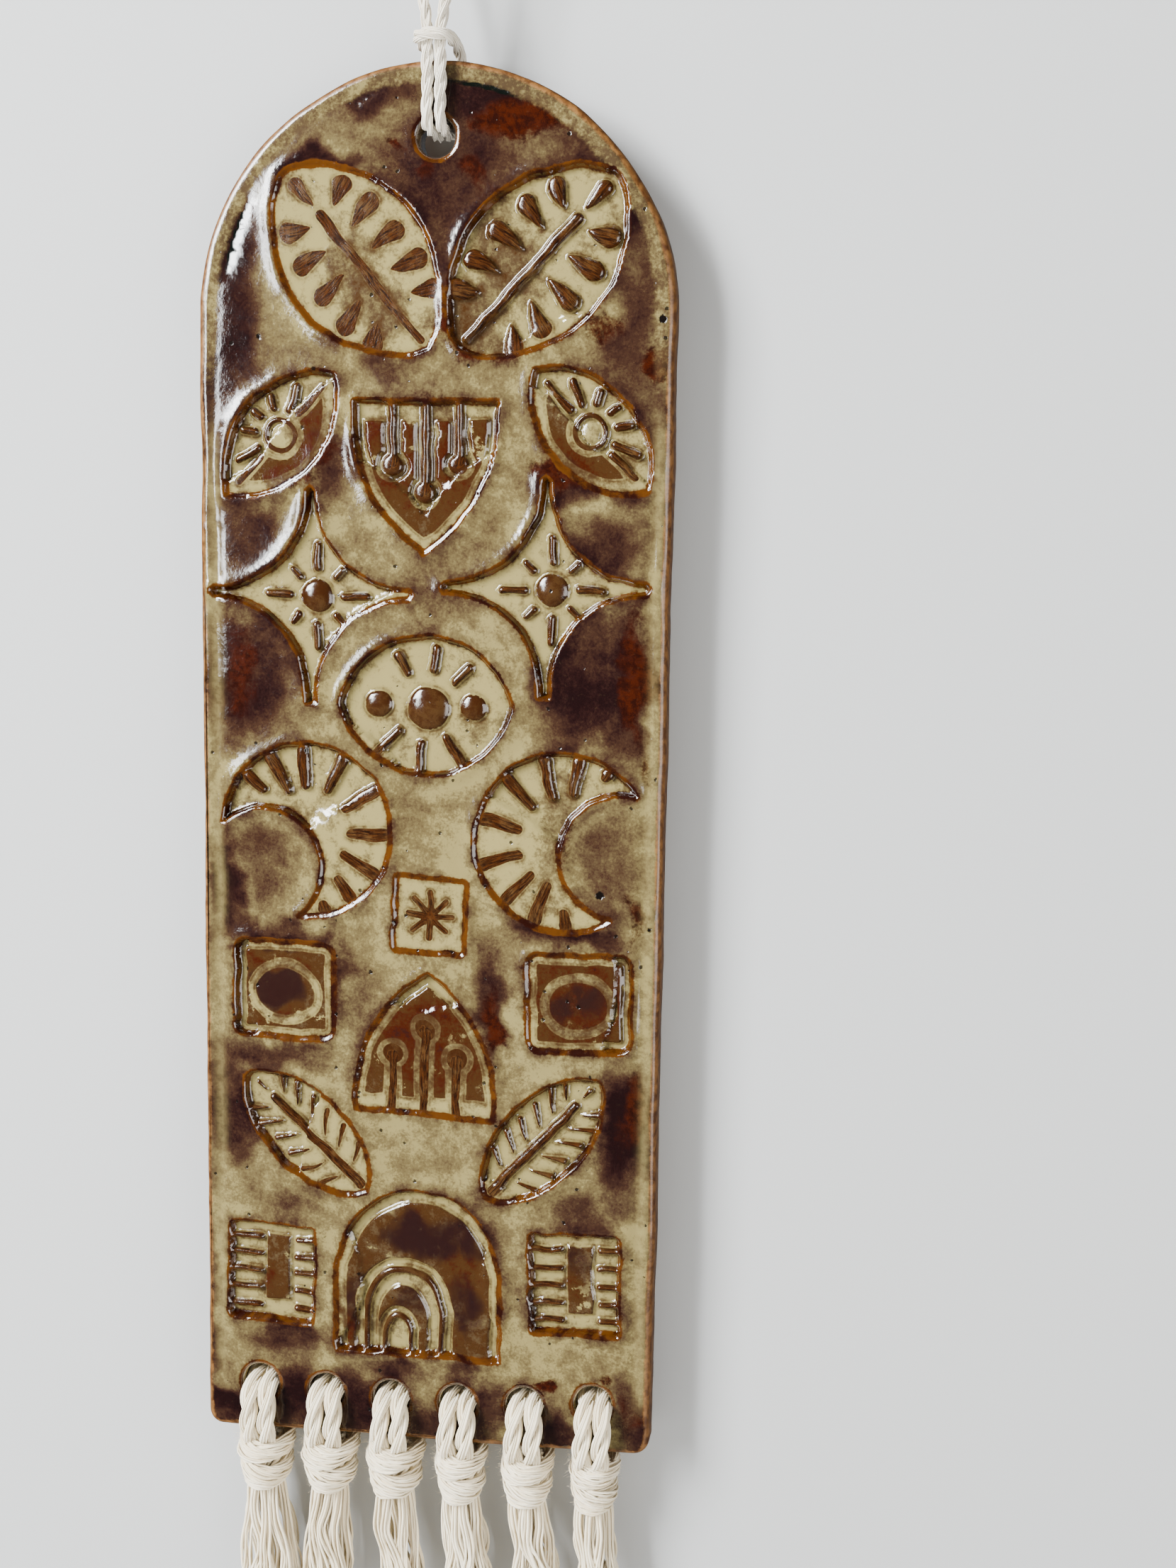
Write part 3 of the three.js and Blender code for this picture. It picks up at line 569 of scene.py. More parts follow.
tassel = {
    "count": 6,
    "holeRadius": 3.75,
    "holeFromSide": 11.7,
    "holeAboveEdge": 10.5,
    "holeRise": 1.9,
    "middle": 3.5,  # how deep the tassel's axis lies
    "squash": 0.84,
    "knotSquash": 1.02,
    "knotMiddle": 3.1,
    "reach": 44,
    "locks": 10,
    "rope": {
        "Plies": 3, "Yarns": 16, "Ply Spread": 0.00104, "Yarn Spread": 0.00084, "Ply Pitch": 0.019,
        "Yarn Pitch": -0.1, "Yarn Radius": 0.00023, "Step": 0.0011, "Stray": 0.00025, "Stray Size": 0.006,
        "Sides": 5,
    },
    "band": {
        "Plies": 1, "Yarns": 30, "Ply Spread": 0.0, "Yarn Spread": 0.0012, "Yarn Pitch": 0.035,
        "Yarn Radius": 0.00024, "Step": 0.001, "Stray": 0.0014, "Stray Size": 0.004, "Sides": 4,
    },
    "skirt": {
        "Plies": 1, "Yarns": 8, "Ply Spread": 0.0, "Yarn Spread": 0.00112, "Yarn Pitch": 0.16,
        "Yarn Radius": 0.00028, "Step": 0.0013, "Stray": 0.0042, "Stray Size": 0.01, "Uneven Ends": 0.1,
        "Sides": 5,
    },
    "core": {
        "Plies": 1, "Yarns": 34, "Ply Spread": 0.0, "Yarn Spread": 0.0042, "Yarn Pitch": 0.03,
        "Yarn Radius": 0.0005, "Step": 0.0013, "Stray": 0.0012, "Stray Size": 0.004, "Sides": 5,
    },
    "fuzz": {
        "Plies": 1, "Yarns": 1, "Ply Spread": 0.0, "Yarn Spread": 0.0, "Yarn Radius": 0.000016,
        "Step": 0.0005, "Stray": 0.0012, "Stray Size": 0.002, "Sides": 3,
    },
    "hairs": 260,
    # height, tilt, droop at the front, radius and half height of each band of the knot
    "bands": ((-2.5, 0.5, 0.8, 0.93, 1.0), (-3.6, -1.1, 1.0, 1.02, 0.95), (-7.9, 0.4, 1.0, 0.9, 1.0),
              (-10.5, -0.4, 0.5, 0.74, 0.75)),
    # half width of the knot, half width of the skirt and how far it hangs to the right
    "each": ((6.2, 7.4, 1.5), (6.2, 5.9, -0.4), (6.2, 5.4, 1.4), (5.7, 6.0, 1.6), (5.7, 5.2, 2.2),
             (5.4, 5.2, 1.1)),
}


def bottomAt(x):
    return slab["bottomSlope"] * (x / slab["width"] + 0.5) - slab["bottomDrop"]


def tasselHole(i):
    span = slab["width"] / 2 - tassel["holeFromSide"]
    x = -span + 2 * span * i / (tassel["count"] - 1)
    return x, bottomAt(x) + tassel["holeAboveEdge"] - tassel["holeRise"] * (1 - (x / span) ** 2)


def ropeGuides(x, z, knotTop, chance):
    guides = []
    for side in (-1, 1):
        near, wide = 1.5 * side, (2.0 + chance.uniform(-0.1, 0.1)) * side
        route = [
            (near, 2.2, knotTop - 6), (near, 0.9, knotTop - 3.2), (wide * 0.9, -0.9, knotTop - 1),
            (wide * 0.98, -2.1, knotTop + 1), (wide + 0.25, -2.5, z - 5.5), (wide + 0.4, -2.2, z - 2.4),
            (wide * 0.86 + 0.5, -1.2, z - 0.3), (wide * 0.8 + 0.4, 0.9, z + 0.4), (wide * 0.8, 3.5, z + 0.5),
            (wide * 0.8, 6.2, z + 0.4), (wide * 0.85, 8.2, z - 0.3), (wide * 0.95, 9, z - 2.4),
            (wide, 9, z - 6), (wide * 0.95, 8.7, knotTop + 0.8), (near, 6.6, knotTop - 2),
            (near, 4.4, knotTop - 6),
        ]
        line = smoothPath(toFrame([(x + dx, y, up) for dx, y, up in route]), 0.0008)
        guides.append(guide(line, (1, 0, 0), 1.03, 0.84, 1))
    return guides


def bandGuides(x, knotTop, halfWidth, chance):
    guides = []
    for height, tilt, droop, share, thick in tassel["bands"]:
        around = np.radians(np.linspace(-195, 195, 40) + chance.uniform(-8, 8))
        tuck = soft(np.abs(around), radians(140), radians(195))
        radius = (halfWidth - 1) * share * (1 - 0.45 * tuck) * (1 + chance.uniform(-0.03, 0.03))
        leaned = tilt * chance.uniform(0.75, 1.25)
        up = knotTop + height + chance.uniform(-0.3, 0.3) - leaned * np.sin(around)
        up -= droop * chance.uniform(0.7, 1.3) * np.cos(around)
        deep = tassel["knotMiddle"] - radius * tassel["knotSquash"] * np.cos(around)
        line = np.stack([x + 0.3 + radius * np.sin(around), deep, up], axis=1)
        line = smoothPath(toFrame(line), 0.0008)
        guides.append(guide(line, (0, 0, 1), 1.75 * thick, 0.72, 1))
    return guides


def skirtGuides(x, knotTop, halfWidth, lean, chance):
    guides = []
    turn = chance.uniform(0, 360)
    for i in range(tassel["locks"]):
        angle = radians(turn + 360 * i / (tassel["locks"] - 1) + chance.uniform(-14, 14))
        share = 0.8 if i < tassel["locks"] - 1 else 0.15
        phase, pitch, swing = chance.uniform(0, 2 * pi), chance.uniform(22, 34), chance.uniform(0.5, 1.5)
        line = []
        for fall in np.linspace(0, 1, 12):
            down = 1.5 + (tassel["reach"] - 1.5) * fall
            opened = soft(down, 12, 30)
            spread = 3.1 + (halfWidth - 1.1 - 3.1) * opened + 1.2 * soft(down, 11, 14) * (1 - opened)
            wave = swing * soft(down, 13, 24) * sin(phase + 2 * pi * down / pitch)
            line.append((
                x + lean * opened + share * spread * cos(angle) + wave * abs(sin(angle)) + 0.4 * wave,
                tassel["middle"] + share * spread * tassel["squash"] * sin(angle) + 0.35 * wave,
                knotTop - down,
            ))
        line = smoothPath(toFrame(line), 0.0012)
        fallen = soft(np.linspace(0, 1, len(line)), 0.25, 1)
        guides.append(guide(line, (1, 0, 0), 0.75 + 0.5 * fallen, 0.7 + 0.35 * fallen, 0.12 + 0.9 * fallen))
    return guides


def fuzzGuides(x, knotTop, halfWidth, chance):
    guides = []
    for _ in range(tassel["hairs"]):
        around, down = chance.uniform(-120, 120), chance.uniform(1, 12.5)
        radius = halfWidth * (1 - 0.3 * soft(down, 3, 13))
        turn = radians(around)
        out = np.array((sin(turn), -tassel["squash"] * cos(turn), chance.uniform(-0.8, 0.8)))
        root = np.array((x, tassel["middle"], knotTop - down)) + out * (radius - 0.2, radius + 0.5, 0)
        bend = np.array([chance.uniform(-1, 1) for _ in range(3)])
        tip = root + out * chance.uniform(0.3, 0.9) + bend * 0.8
        line = smoothPath(toFrame([root, (root + tip) / 2 + bend * 0.3, tip]), 0.0004)
        guides.append(guide(line, (0, 0, 1)))
    return guides


def makeTassel(i):
    chance = np.random.default_rng(60 + i)
    x, z = tasselHole(i)
    knotTop = bottomAt(x) - 0.6
    knotHalf, skirtHalf, lean = tassel["each"][i]
    name = f"tassel_yarns_{i + 1}"
    parts = []
    middle = (x + 0.3, tassel["knotMiddle"])
    core = toFrame(np.array([(*middle, knotTop - down) for down in np.linspace(1.3, 11, 9)]))
    for kind, guides in (
        ("core", [guide(core, (1, 0, 0), knotHalf / 6.2, 1.0, 1)]),
        ("rope", ropeGuides(x, z, knotTop, chance)),
        ("band", bandGuides(x, knotTop, knotHalf, chance)),
        ("skirt", skirtGuides(x, knotTop, skirtHalf, lean, chance)),
        ("fuzz", fuzzGuides(x, knotTop, knotHalf, chance)),
    ):
        sizes = {**tassel[kind], "Seed": 11 * i + len(parts)}
        parts.append(spinYarns(f"{name}_{kind}", guides, sizes, tasselCotton))
    return joined(name, parts)


tassels = [makeTassel(i) for i in range(tassel["count"])]
print("tassels spun:", [len(t.data.polygons) for t in tassels], "faces")


# Relief of the slab's face, in millimetres: x to the right and z up from the slab's datum. Shapes are
# distance functions, negative inside.

pressing = {
    "depth": 1.3,
    "ridgeDrop": 0.15,
    "fieldDrop": 0.55,
    "wall": (-0.35, 0.5),  # where the wall starts outside the outline and ends inside it
    "ridgeWall": (-0.28, 0.42),
    "crown": 0.42,  # how far the ridges are rounded
    "lip": 0.36,
    "lipAt": 1.2,
    "lipWidth": 0.95,
    "swell": 0.32,
    "swellReach": 3.4,
    "wander": 0.28,
    "curveSteps": 40,
}
bigLeaf = {
    "length": 44, "halfWidth": 14.2, "fullness": 0.62, "midrib": (1.6, 33.6), "midribWidth": (1.6, 2.3),
    "tipRib": (35.2, 41.6), "ribs": 5, "firstRib": 32.6, "ribPitch": 5.6, "firstSlant": 62, "slantPitch": 16,
    "ribStart": 3.2, "ribSpread": 0.3, "ribLength": 6.9, "ribWidth": 4.2,
}
smallLeaf = {
    "length": 34, "halfWidth": 8.3, "fullness": 0.6, "midrib": (1.2, 27.6), "midribWidth": (2.3, 1.9),
    "tipRib": (29, 31.8), "ribs": 6, "firstRib": 26.3, "ribPitch": 4, "firstSlant": 44, "slantPitch": 4.2,
    "ribStart": 2.2, "ribSpread": 0, "ribLength": 5.4, "ribWidth": 1.3,
}
eye = {
    "halfLength": 16, "halfWidth": 8.5, "ringOuter": 3.6, "ringInner": 2.5, "axisRay": (5.4, 13), "rays": 5,
    "firstRay": 23, "rayPitch": 34.5, "rayStart": 4.9, "rayEnd": 10.5, "rayWidth": 1.7,
    "groove": 1.6, "ringGroove": 1.1,
}
shield = {
    "halfWidth": 14.4, "height": 29, "shoulder": 26, "groove": 1.7, "pins": (-6.8, 0, 6.8), "topGroove": 3.4,
    "ballHeights": (17, 11.5, 17), "ballRadius": 2.1, "pinWidth": 1.85, "pinGroove": 1.05,
}
star = {
    "arm": 20, "tipHalf": 0.6, "tail": 21.8, "tailHalf": 0.9, "domeAt": (1.2, -0.5), "domeRadius": 3.3,
    "axisDash": (5, 10.6), "diagonalDash": (4.9, 7.7), "dashWidth": 1.7,
}
lens = {
    "halfLength": 17.5, "halfWidth": 13.6, "domeAt": (0.5, -0.5), "domeRadius": 4.3, "sideDome": 9.8,
    "sideDomeRadius": 2.65, "fans": (81, 264), "fanPitch": 40, "ray": (7, 12), "lowRay": (7, 14.5),
    "rayWidth": 2,
}
moon = {
    "radius": 17.6, "biteOffset": 11.8, "biteRadius": 12.5, "dashes": 9, "dashPitch": 26.9, "dashBunch": 7.5,
    "dashTurn": 173.5, "dashStart": 8.8, "dashMargin": 0.4, "biteMargin": 3, "dashWidth": 2.9,
}
asterisk = {"halfWidth": 7.2, "halfHeight": 7.6, "corner": 0.8, "arm": 5, "armWidth": 1.35, "arms": 8}
ringTile = {
    "halfWidth": 10.3, "halfHeight": 9.8, "corner": 2.4, "groove": 1.7, "ringOuter": (7.8, 6.8),
    "disc": (6.1, 4.9), "drop": 0.5,
}
rainbow = {  # each arch is the place of its middle, its half width and its height
    "spring": 0.44, "outer": (0, 17.2, 35),
    "bands": (
        ("field", (0.1, 15.3, 32.6), (-3, 10.3, 20.3)), ("ridge", (-3, 8.7, 18.8), (-3, 7.4, 17.3)),
        ("field", (-3.3, 5.6, 14.5), (-4.2, 4.4, 9.9)), ("ridge", (-4.2, 3.5, 8.8), (-4.2, 2.3, 7.4)),
    ),
}
comb = {
    "halfWidth": 9.1, "halfHeight": 10.3, "corner": 0.9, "bars": 5, "firstBar": 7.2, "barPitch": 3.75,
    "longBar": 6.8, "shortBar": 4.3, "barWidth": 1.4, "field": (-1.6, 3.8, -6.4, 8),
}


def bell(value, middle, width):
    return np.exp(-((value - middle) / width) ** 2)


def cloudy(points, size, seed):
    # Smooth random values from -1 to 1 over the plane
    grid = np.random.default_rng(seed).uniform(-1, 1, (64, 64))
    at = points / size + 23.7
    low = np.floor(at).astype(int)
    share = at - low
    share = share * share * (3 - 2 * share)
    x0, z0 = low[:, 0] % 64, low[:, 1] % 64
    x1, z1 = (x0 + 1) % 64, (z0 + 1) % 64
    under = grid[x0, z0] * (1 - share[:, 0]) + grid[x1, z0] * share[:, 0]
    over = grid[x0, z1] * (1 - share[:, 0]) + grid[x1, z1] * share[:, 0]
    return under * (1 - share[:, 1]) + over * share[:, 1]


def polar(radius, angle):
    return np.array((radius * cos(radians(angle)), radius * sin(radians(angle))))


def arc(cx, cz, radius, start, end, steps, squash=1.0):
    return [(cx + radius * cos(a), cz + radius * squash * sin(a))
            for a in np.radians(np.linspace(start, end, steps + 1))]


def insideOf(outline):
    outline = np.array(outline, float)

    def distance(points):
        nearest = np.full(len(points), 1e9)
        inside = np.zeros(len(points), bool)
        x, z = points[:, 0], points[:, 1]
        for (ax, az), (bx, bz) in zip(outline, np.roll(outline, -1, axis=0)):
            ex, ez = bx - ax, bz - az
            reach = ex * ex + ez * ez
            if reach == 0:
                continue
            share = np.clip(((x - ax) * ex + (z - az) * ez) / reach, 0, 1)
            nearest = np.minimum(nearest, (x - ax - ex * share) ** 2 + (z - az - ez * share) ** 2)
            if ez != 0:
                inside ^= ((az > z) != (bz > z)) & (x < ax + (z - az) * ex / ez)
        return np.where(inside, -1, 1) * np.sqrt(nearest)
    return distance


def ovalOf(cx, cz, halfWidth, halfHeight):
    def distance(points):
        at = (points - (cx, cz)) / (halfWidth, halfHeight)
        size = np.maximum(np.linalg.norm(at, axis=1), 1e-6)
        slope = np.maximum(np.linalg.norm(at / (halfWidth, halfHeight), axis=1), 1e-6)
        return size * (size - 1) / slope
    return distance


def barOf(start, end, startWidth, endWidth, growth=1.0):
    # A bar with round ends between two points, whose width changes along it
    start, end = np.array(start, float), np.array(end, float)
    long = np.linalg.norm(end - start)
    along = (end - start) / long
    first, last = startWidth / 2, endWidth / 2
    reach = max(long - 0.6 * (first + last), 0.1)

    def place(points):
        at = points - start
        return at @ along, at @ np.array((-along[1], along[0]))

    def distance(points):
        forward, across = place(points)
        share = np.clip((forward - 0.6 * first) / reach, 0, 1)
        beyond = forward - 0.6 * first - share * reach
        return np.hypot(beyond, across) - (first + (last - first) * share ** growth)
    distance.place = place
    return distance


def dropOf(start, end, width):
    return barOf(start, end, 0.3, width, 0.7)


def vesica(halfLength, halfWidth):
    radius = (halfLength ** 2 + halfWidth ** 2) / (2 * halfWidth)
    half = degrees(np.arcsin(min(1, halfLength / radius)))
    upper = arc(0, halfWidth - radius, radius, 90 - half, 90 + half, pressing["curveSteps"])
    return upper + [(-x, -z) for x, z in upper[1:-1]]


def vesicaReach(halfLength, halfWidth, angle):
    radius = (halfLength ** 2 + halfWidth ** 2) / (2 * halfWidth)
    across, up = polar(radius - halfWidth, angle)
    return sqrt(max(0, radius ** 2 - across ** 2)) - abs(up)


def roundedBox(halfWidth, halfHeight, corner):
    x, z = halfWidth - corner, halfHeight - corner
    steps = 8
    return (arc(x, z, corner, 0, 90, steps) + arc(-x, z, corner, 90, 180, steps)
            + arc(-x, -z, corner, 180, 270, steps) + arc(x, -z, corner, 270, 360, steps))


# Blocks. Each has an outline, and what stands up from its floor: ridges, flat fields and domes.

def leafBlock(leaf):
    shares = np.linspace(0, 1, pressing["curveSteps"] + 1)
    half = leaf["halfWidth"] * np.sin(pi * shares) ** leaf["fullness"]
    half[-1] = 0.06 * leaf["halfWidth"]
    side = list(zip(half, leaf["length"] * shares))
    outline = side + [(-x, z) for x, z in side[:0:-1]]
    ridges = [
        barOf((0, leaf["midrib"][0]), (0, leaf["midrib"][1]), *leaf["midribWidth"]),
        dropOf((0, leaf["tipRib"][0]), (0, leaf["tipRib"][1]), leaf["ribWidth"] * 0.8),
    ]
    for side in (-1, 1):
        for i in range(leaf["ribs"]):
            up, out = polar(1, leaf["firstSlant"] + leaf["slantPitch"] * i)
            start = np.array((leaf["ribStart"] + leaf["ribSpread"] * i,
                              leaf["firstRib"] - leaf["ribPitch"] * i))
            long = leaf["ribLength"] * (0.8 if i in (0, leaf["ribs"] - 1) else 1)
            end = start + np.array((out, up)) * long
            ridges.append(dropOf(start * (side, 1), end * (side, 1), leaf["ribWidth"]))
    return {"outline": outline, "ridges": ridges}


def eyeBlock():
    long, wide = eye["halfLength"], eye["halfWidth"]
    start, end = eye["axisRay"]
    width = eye["rayWidth"]
    ridges = [barOf((side * start, 0), (side * end, 0), width, width * 0.8) for side in (-1, 1)]
    for i in range(eye["rays"]):
        angle = eye["firstRay"] + eye["rayPitch"] * i
        reach = min(eye["rayEnd"], vesicaReach(long, wide, angle) - 1.1)
        ridges.append(barOf(polar(eye["rayStart"], angle), polar(reach, angle), width, width))
    ring = ovalOf(0, 0, eye["ringOuter"], eye["ringOuter"])
    hollow = ovalOf(0, 0, eye["ringInner"], eye["ringInner"])
    moat = ovalOf(0, 0, eye["ringOuter"] + eye["ringGroove"], eye["ringOuter"] + eye["ringGroove"])
    flat = insideOf(vesica(long - 2.4 * eye["groove"], wide - eye["groove"]))

    def above(points):
        return -points[:, 1] - width / 2 - 0.35

    return {
        "outline": vesica(long, wide), "ridges": ridges,
        "fields": [("ridge", ring, [hollow]), ("field", flat, [moat, above])],
        "domes": [((0, 0), eye["ringInner"] - 0.4, 0.75, "floor")],
    }


def shieldOutline(inset, topInset=0):
    half = shield["halfWidth"] - inset
    rise = shield["shoulder"] - inset * 1.5
    radius = (half ** 2 + rise ** 2) / (2 * half)
    sweep = degrees(np.arcsin(rise / radius))
    right = arc(half - radius, shield["shoulder"], radius, -sweep, 0, pressing["curveSteps"])
    top = shield["height"] - topInset
    return right + [(half, top), (-half, top)] + [(-x, z) for x, z in right[:0:-1]]


def shieldBlock():
    ridges, grooves = [], []
    width, ball = shield["pinWidth"], shield["ballRadius"]
    margin = shield["pinGroove"]
    for x, z in zip(shield["pins"], shield["ballHeights"]):
        ridges.append(barOf((x, z), (x, shield["height"] + 0.4), width, width))
        ridges.append(ovalOf(x, z, ball, ball))
        grooves.append(barOf((x, z), (x, shield["height"] + 3), width + 2 * margin, width + 2 * margin))
        grooves.append(ovalOf(x, z, ball + margin, ball + margin))
    fields = [("field", insideOf(shieldOutline(shield["groove"], shield["topGroove"])), grooves)]
    return {"outline": shieldOutline(0), "ridges": ridges, "fields": fields}


def starBlock():
    arm, tip, tail, tailHalf = star["arm"], star["tipHalf"], star["tail"], star["tailHalf"]
    tips = ((0, arm + tip), (-arm - tip, 0), (-tailHalf, -tail), (tailHalf, -tail))
    outline = [(arm + tip, 0)]
    for quadrant, (sideX, sideZ) in enumerate(((1, 1), (-1, 1), (-1, -1), (1, -1))):
        half = tip if quadrant < 2 else tailHalf
        middle = 45 + 90 * quadrant
        outline += arc(sideX * arm, sideZ * arm, arm - half, middle + 225, middle + 135, 16)
        if quadrant < 3:
            outline.append(tips[quadrant])
        if quadrant == 2:
            outline.append(tips[3])
    centre = np.array(star["domeAt"])
    width = star["dashWidth"]
    ridges = []
    dashes = ((0, star["axisDash"], width, width * 0.9), (45, star["diagonalDash"], width * 0.9, width * 0.8))
    for angle in range(0, 360, 90):
        for turn, reach, *widths in dashes:
            near, far = (polar(radius, angle + turn) + centre for radius in reach)
            ridges.append(barOf(near, far, *widths))
    domes = [(star["domeAt"], star["domeRadius"], 1.3, "brown")]
    return {"outline": outline, "ridges": ridges, "domes": domes}


def lensBlock():
    width = lens["rayWidth"]
    ridges = []
    for middle, (near, far) in zip(lens["fans"], (lens["ray"], lens["lowRay"])):
        for i in (-1, 0, 1):
            angle = middle + lens["fanPitch"] * i
            ridges.append(barOf(polar(near, angle), polar(far, angle), width * 0.9, width))
    domes = [(lens["domeAt"], lens["domeRadius"], 1.35, "brown")]
    domes += [((side * lens["sideDome"], 0), lens["sideDomeRadius"], 1.1, "brown") for side in (-1, 1)]
    return {"outline": vesica(lens["halfLength"], lens["halfWidth"]), "ridges": ridges, "domes": domes}


def moonBlock(dashShift):
    radius, offset, bite = moon["radius"], moon["biteOffset"], moon["biteRadius"]
    tipX = (offset ** 2 + radius ** 2 - bite ** 2) / (2 * offset)
    tipZ = sqrt(radius ** 2 - tipX ** 2)
    tipAngle = degrees(atan2(tipZ, tipX))
    biteAngle = degrees(atan2(tipZ, tipX - offset))
    outline = arc(0, 0, radius, tipAngle, 360 - tipAngle, 2 * pressing["curveSteps"])
    outline += arc(offset, 0, bite, 360 - biteAngle, biteAngle, pressing["curveSteps"])[1:-1]
    ridges = []
    for i in range(moon["dashes"]):
        step = i - (moon["dashes"] - 1) / 2
        bunch = moon["dashBunch"] * sin(2 * pi * step / (moon["dashes"] - 1))
        angle = moon["dashTurn"] + dashShift + moon["dashPitch"] * step + bunch
        along, across = polar(offset, angle)
        clear = along + sqrt((bite + moon["biteMargin"]) ** 2 - across ** 2)
        start = min(max(moon["dashStart"], clear), radius - 2.6)
        end = radius - moon["dashMargin"]
        width = moon["dashWidth"]
        ridges.append(barOf(polar(start, angle), polar(end, angle), width * 0.7, width))
    return {"outline": outline, "ridges": ridges}


def asteriskBlock():
    ridges = []
    for i in range(asterisk["arms"] // 2):
        end = polar(asterisk["arm"], 360 * i / asterisk["arms"])
        ridges.append(barOf(-end, end, asterisk["armWidth"], asterisk["armWidth"]))
    outline = roundedBox(asterisk["halfWidth"], asterisk["halfHeight"], asterisk["corner"])
    return {"outline": outline, "ridges": ridges}


def ringBlock():
    wide, high, corner = ringTile["halfWidth"], ringTile["halfHeight"], ringTile["corner"]
    groove = ringTile["groove"]
    low = -ringTile["drop"]
    ground = insideOf(roundedBox(wide - groove, high - groove, corner - groove))
    fields = [("field", ground, [ovalOf(0, low, *ringTile["ringOuter"])]),
              ("disc", ovalOf(0, low, *ringTile["disc"]), [])]
    return {"outline": roundedBox(wide, high, corner), "ridges": [], "fields": fields}


def archOutline(arch, foot):
    middle, half, height = arch
    spring = height * rainbow["spring"]
    crown = arc(middle, spring, half, 0, 180, pressing["curveSteps"], (height - spring) / half)
    return [(middle - half, -foot), (middle + half, -foot)] + crown


def rainbowBlock():
    fields = [(kind, insideOf(archOutline(outside, 1)), [insideOf(archOutline(inside, 2))])
              for kind, outside, inside in rainbow["bands"]]
    return {"outline": archOutline(rainbow["outer"], 0), "ridges": [], "fields": fields}


def combBlock():
    wide = comb["halfWidth"]
    width = comb["barWidth"]
    ridges = []
    for i in range(comb["bars"]):
        z = comb["firstBar"] - comb["barPitch"] * i
        ridges.append(barOf((-wide - 0.2, z), (-wide + comb["longBar"], z), width, width))
        ridges.append(barOf((wide + 0.2, z), (wide - comb["shortBar"], z), width, width))
    left, right, low, high = comb["field"]
    field = insideOf([(left, low), (right, low), (right, high), (left, high)])
    return {"outline": roundedBox(wide, comb["halfHeight"], comb["corner"]), "ridges": ridges,
            "fields": [("field", field, [])]}


# Where each block was pressed: its origin on the face, how far it is turned, and whether mirrored
edge = slab["width"] / 2
presses = [
    (leafBlock(bigLeaf), -0.7, 222, 40.6, 1), (leafBlock(bigLeaf), 5.5, 222, -43.4, -1),
    (eyeBlock(), 16.8 - edge, 205.3, 47.4, 1), (eyeBlock(), edge - 15.8, 206.3, -45.7, -1),
    (shieldBlock(), -1.1, 182.8, 0, 1), (starBlock(), 23.1 - edge, 174.3, 0, 1),
    (starBlock(), edge - 24.2, 176.4, 0, 1), (lensBlock(), -0.6, 152.5, 0, 1),
    (moonBlock(-3.5), 22 - edge, 126.3, 220.9, 1), (moonBlock(3.5), edge - 20, 126, -11.8, 1),
    (asteriskBlock(), 0.5, 110.3, -2, 1), (ringBlock(), 17.4 - edge, 93.3, -1, 1),
    (ringBlock(), edge - 16.1, 93.8, 1, 1), (shieldBlock(), 0.2, 98, 178.6, 1),
    (leafBlock(smallLeaf), -12.4, 51.8, 48.3, 1), (leafBlock(smallLeaf), 13, 52.3, -41.6, -1),
    (rainbowBlock(), -1.5, 17, 0, 1), (combBlock(), 14.5 - edge, 32.2, -1, 1),
    (combBlock(), edge - 16, 34.9, 1.5, 1),
]

# Slab outline, rim and holes
slab.update({
    "cornerRadius": 3.2, "wobble": 0.22,
    "rim": ((1.0, 0.12), (0.55, 0.32), (0.2, 0.75), (0, 1.5), (0, 3.6), (0, 5.6), (0.2, 6.4), (0.9, 7.0)),
    "holeRim": ((0.5, 0.1), (0.18, 0.32), (0, 0.8), (0, 3.6), (0, 6.2), (0.5, 7.0)),
    "ringStep": 0.7, "holeSides": 36,
})


def slabOutline():
    corner = slab["cornerRadius"]
    arch = arc(0, slab["top"] - edge, edge, 0, 180, 160)
    left = arc(corner - edge, bottomAt(corner - edge) + corner, corner, 180, 270, 12)
    right = arc(edge - corner, bottomAt(edge - corner) + corner, corner, 270, 360, 12)
    outline = np.array(arch + left + right)
    steps = np.linalg.norm(np.diff(np.vstack([outline, outline[:1]]), axis=0), axis=1)
    marks = np.concatenate([[0], np.cumsum(steps)])
    at = np.linspace(0, marks[-1], int(marks[-1] / slab["ringStep"]), endpoint=False)
    closed = np.vstack([outline, outline[:1]])
    return np.stack([np.interp(at, marks, closed[:, 0]), np.interp(at, marks, closed[:, 1])], axis=1)


def slabHoles():
    holes = [(hangingCord["holeX"], slab["top"] - hangingCord["holeBelowTop"], hangingCord["holeRadius"])]
    return holes + [(*tasselHole(i), tassel["holeRadius"]) for i in range(tassel["count"])]


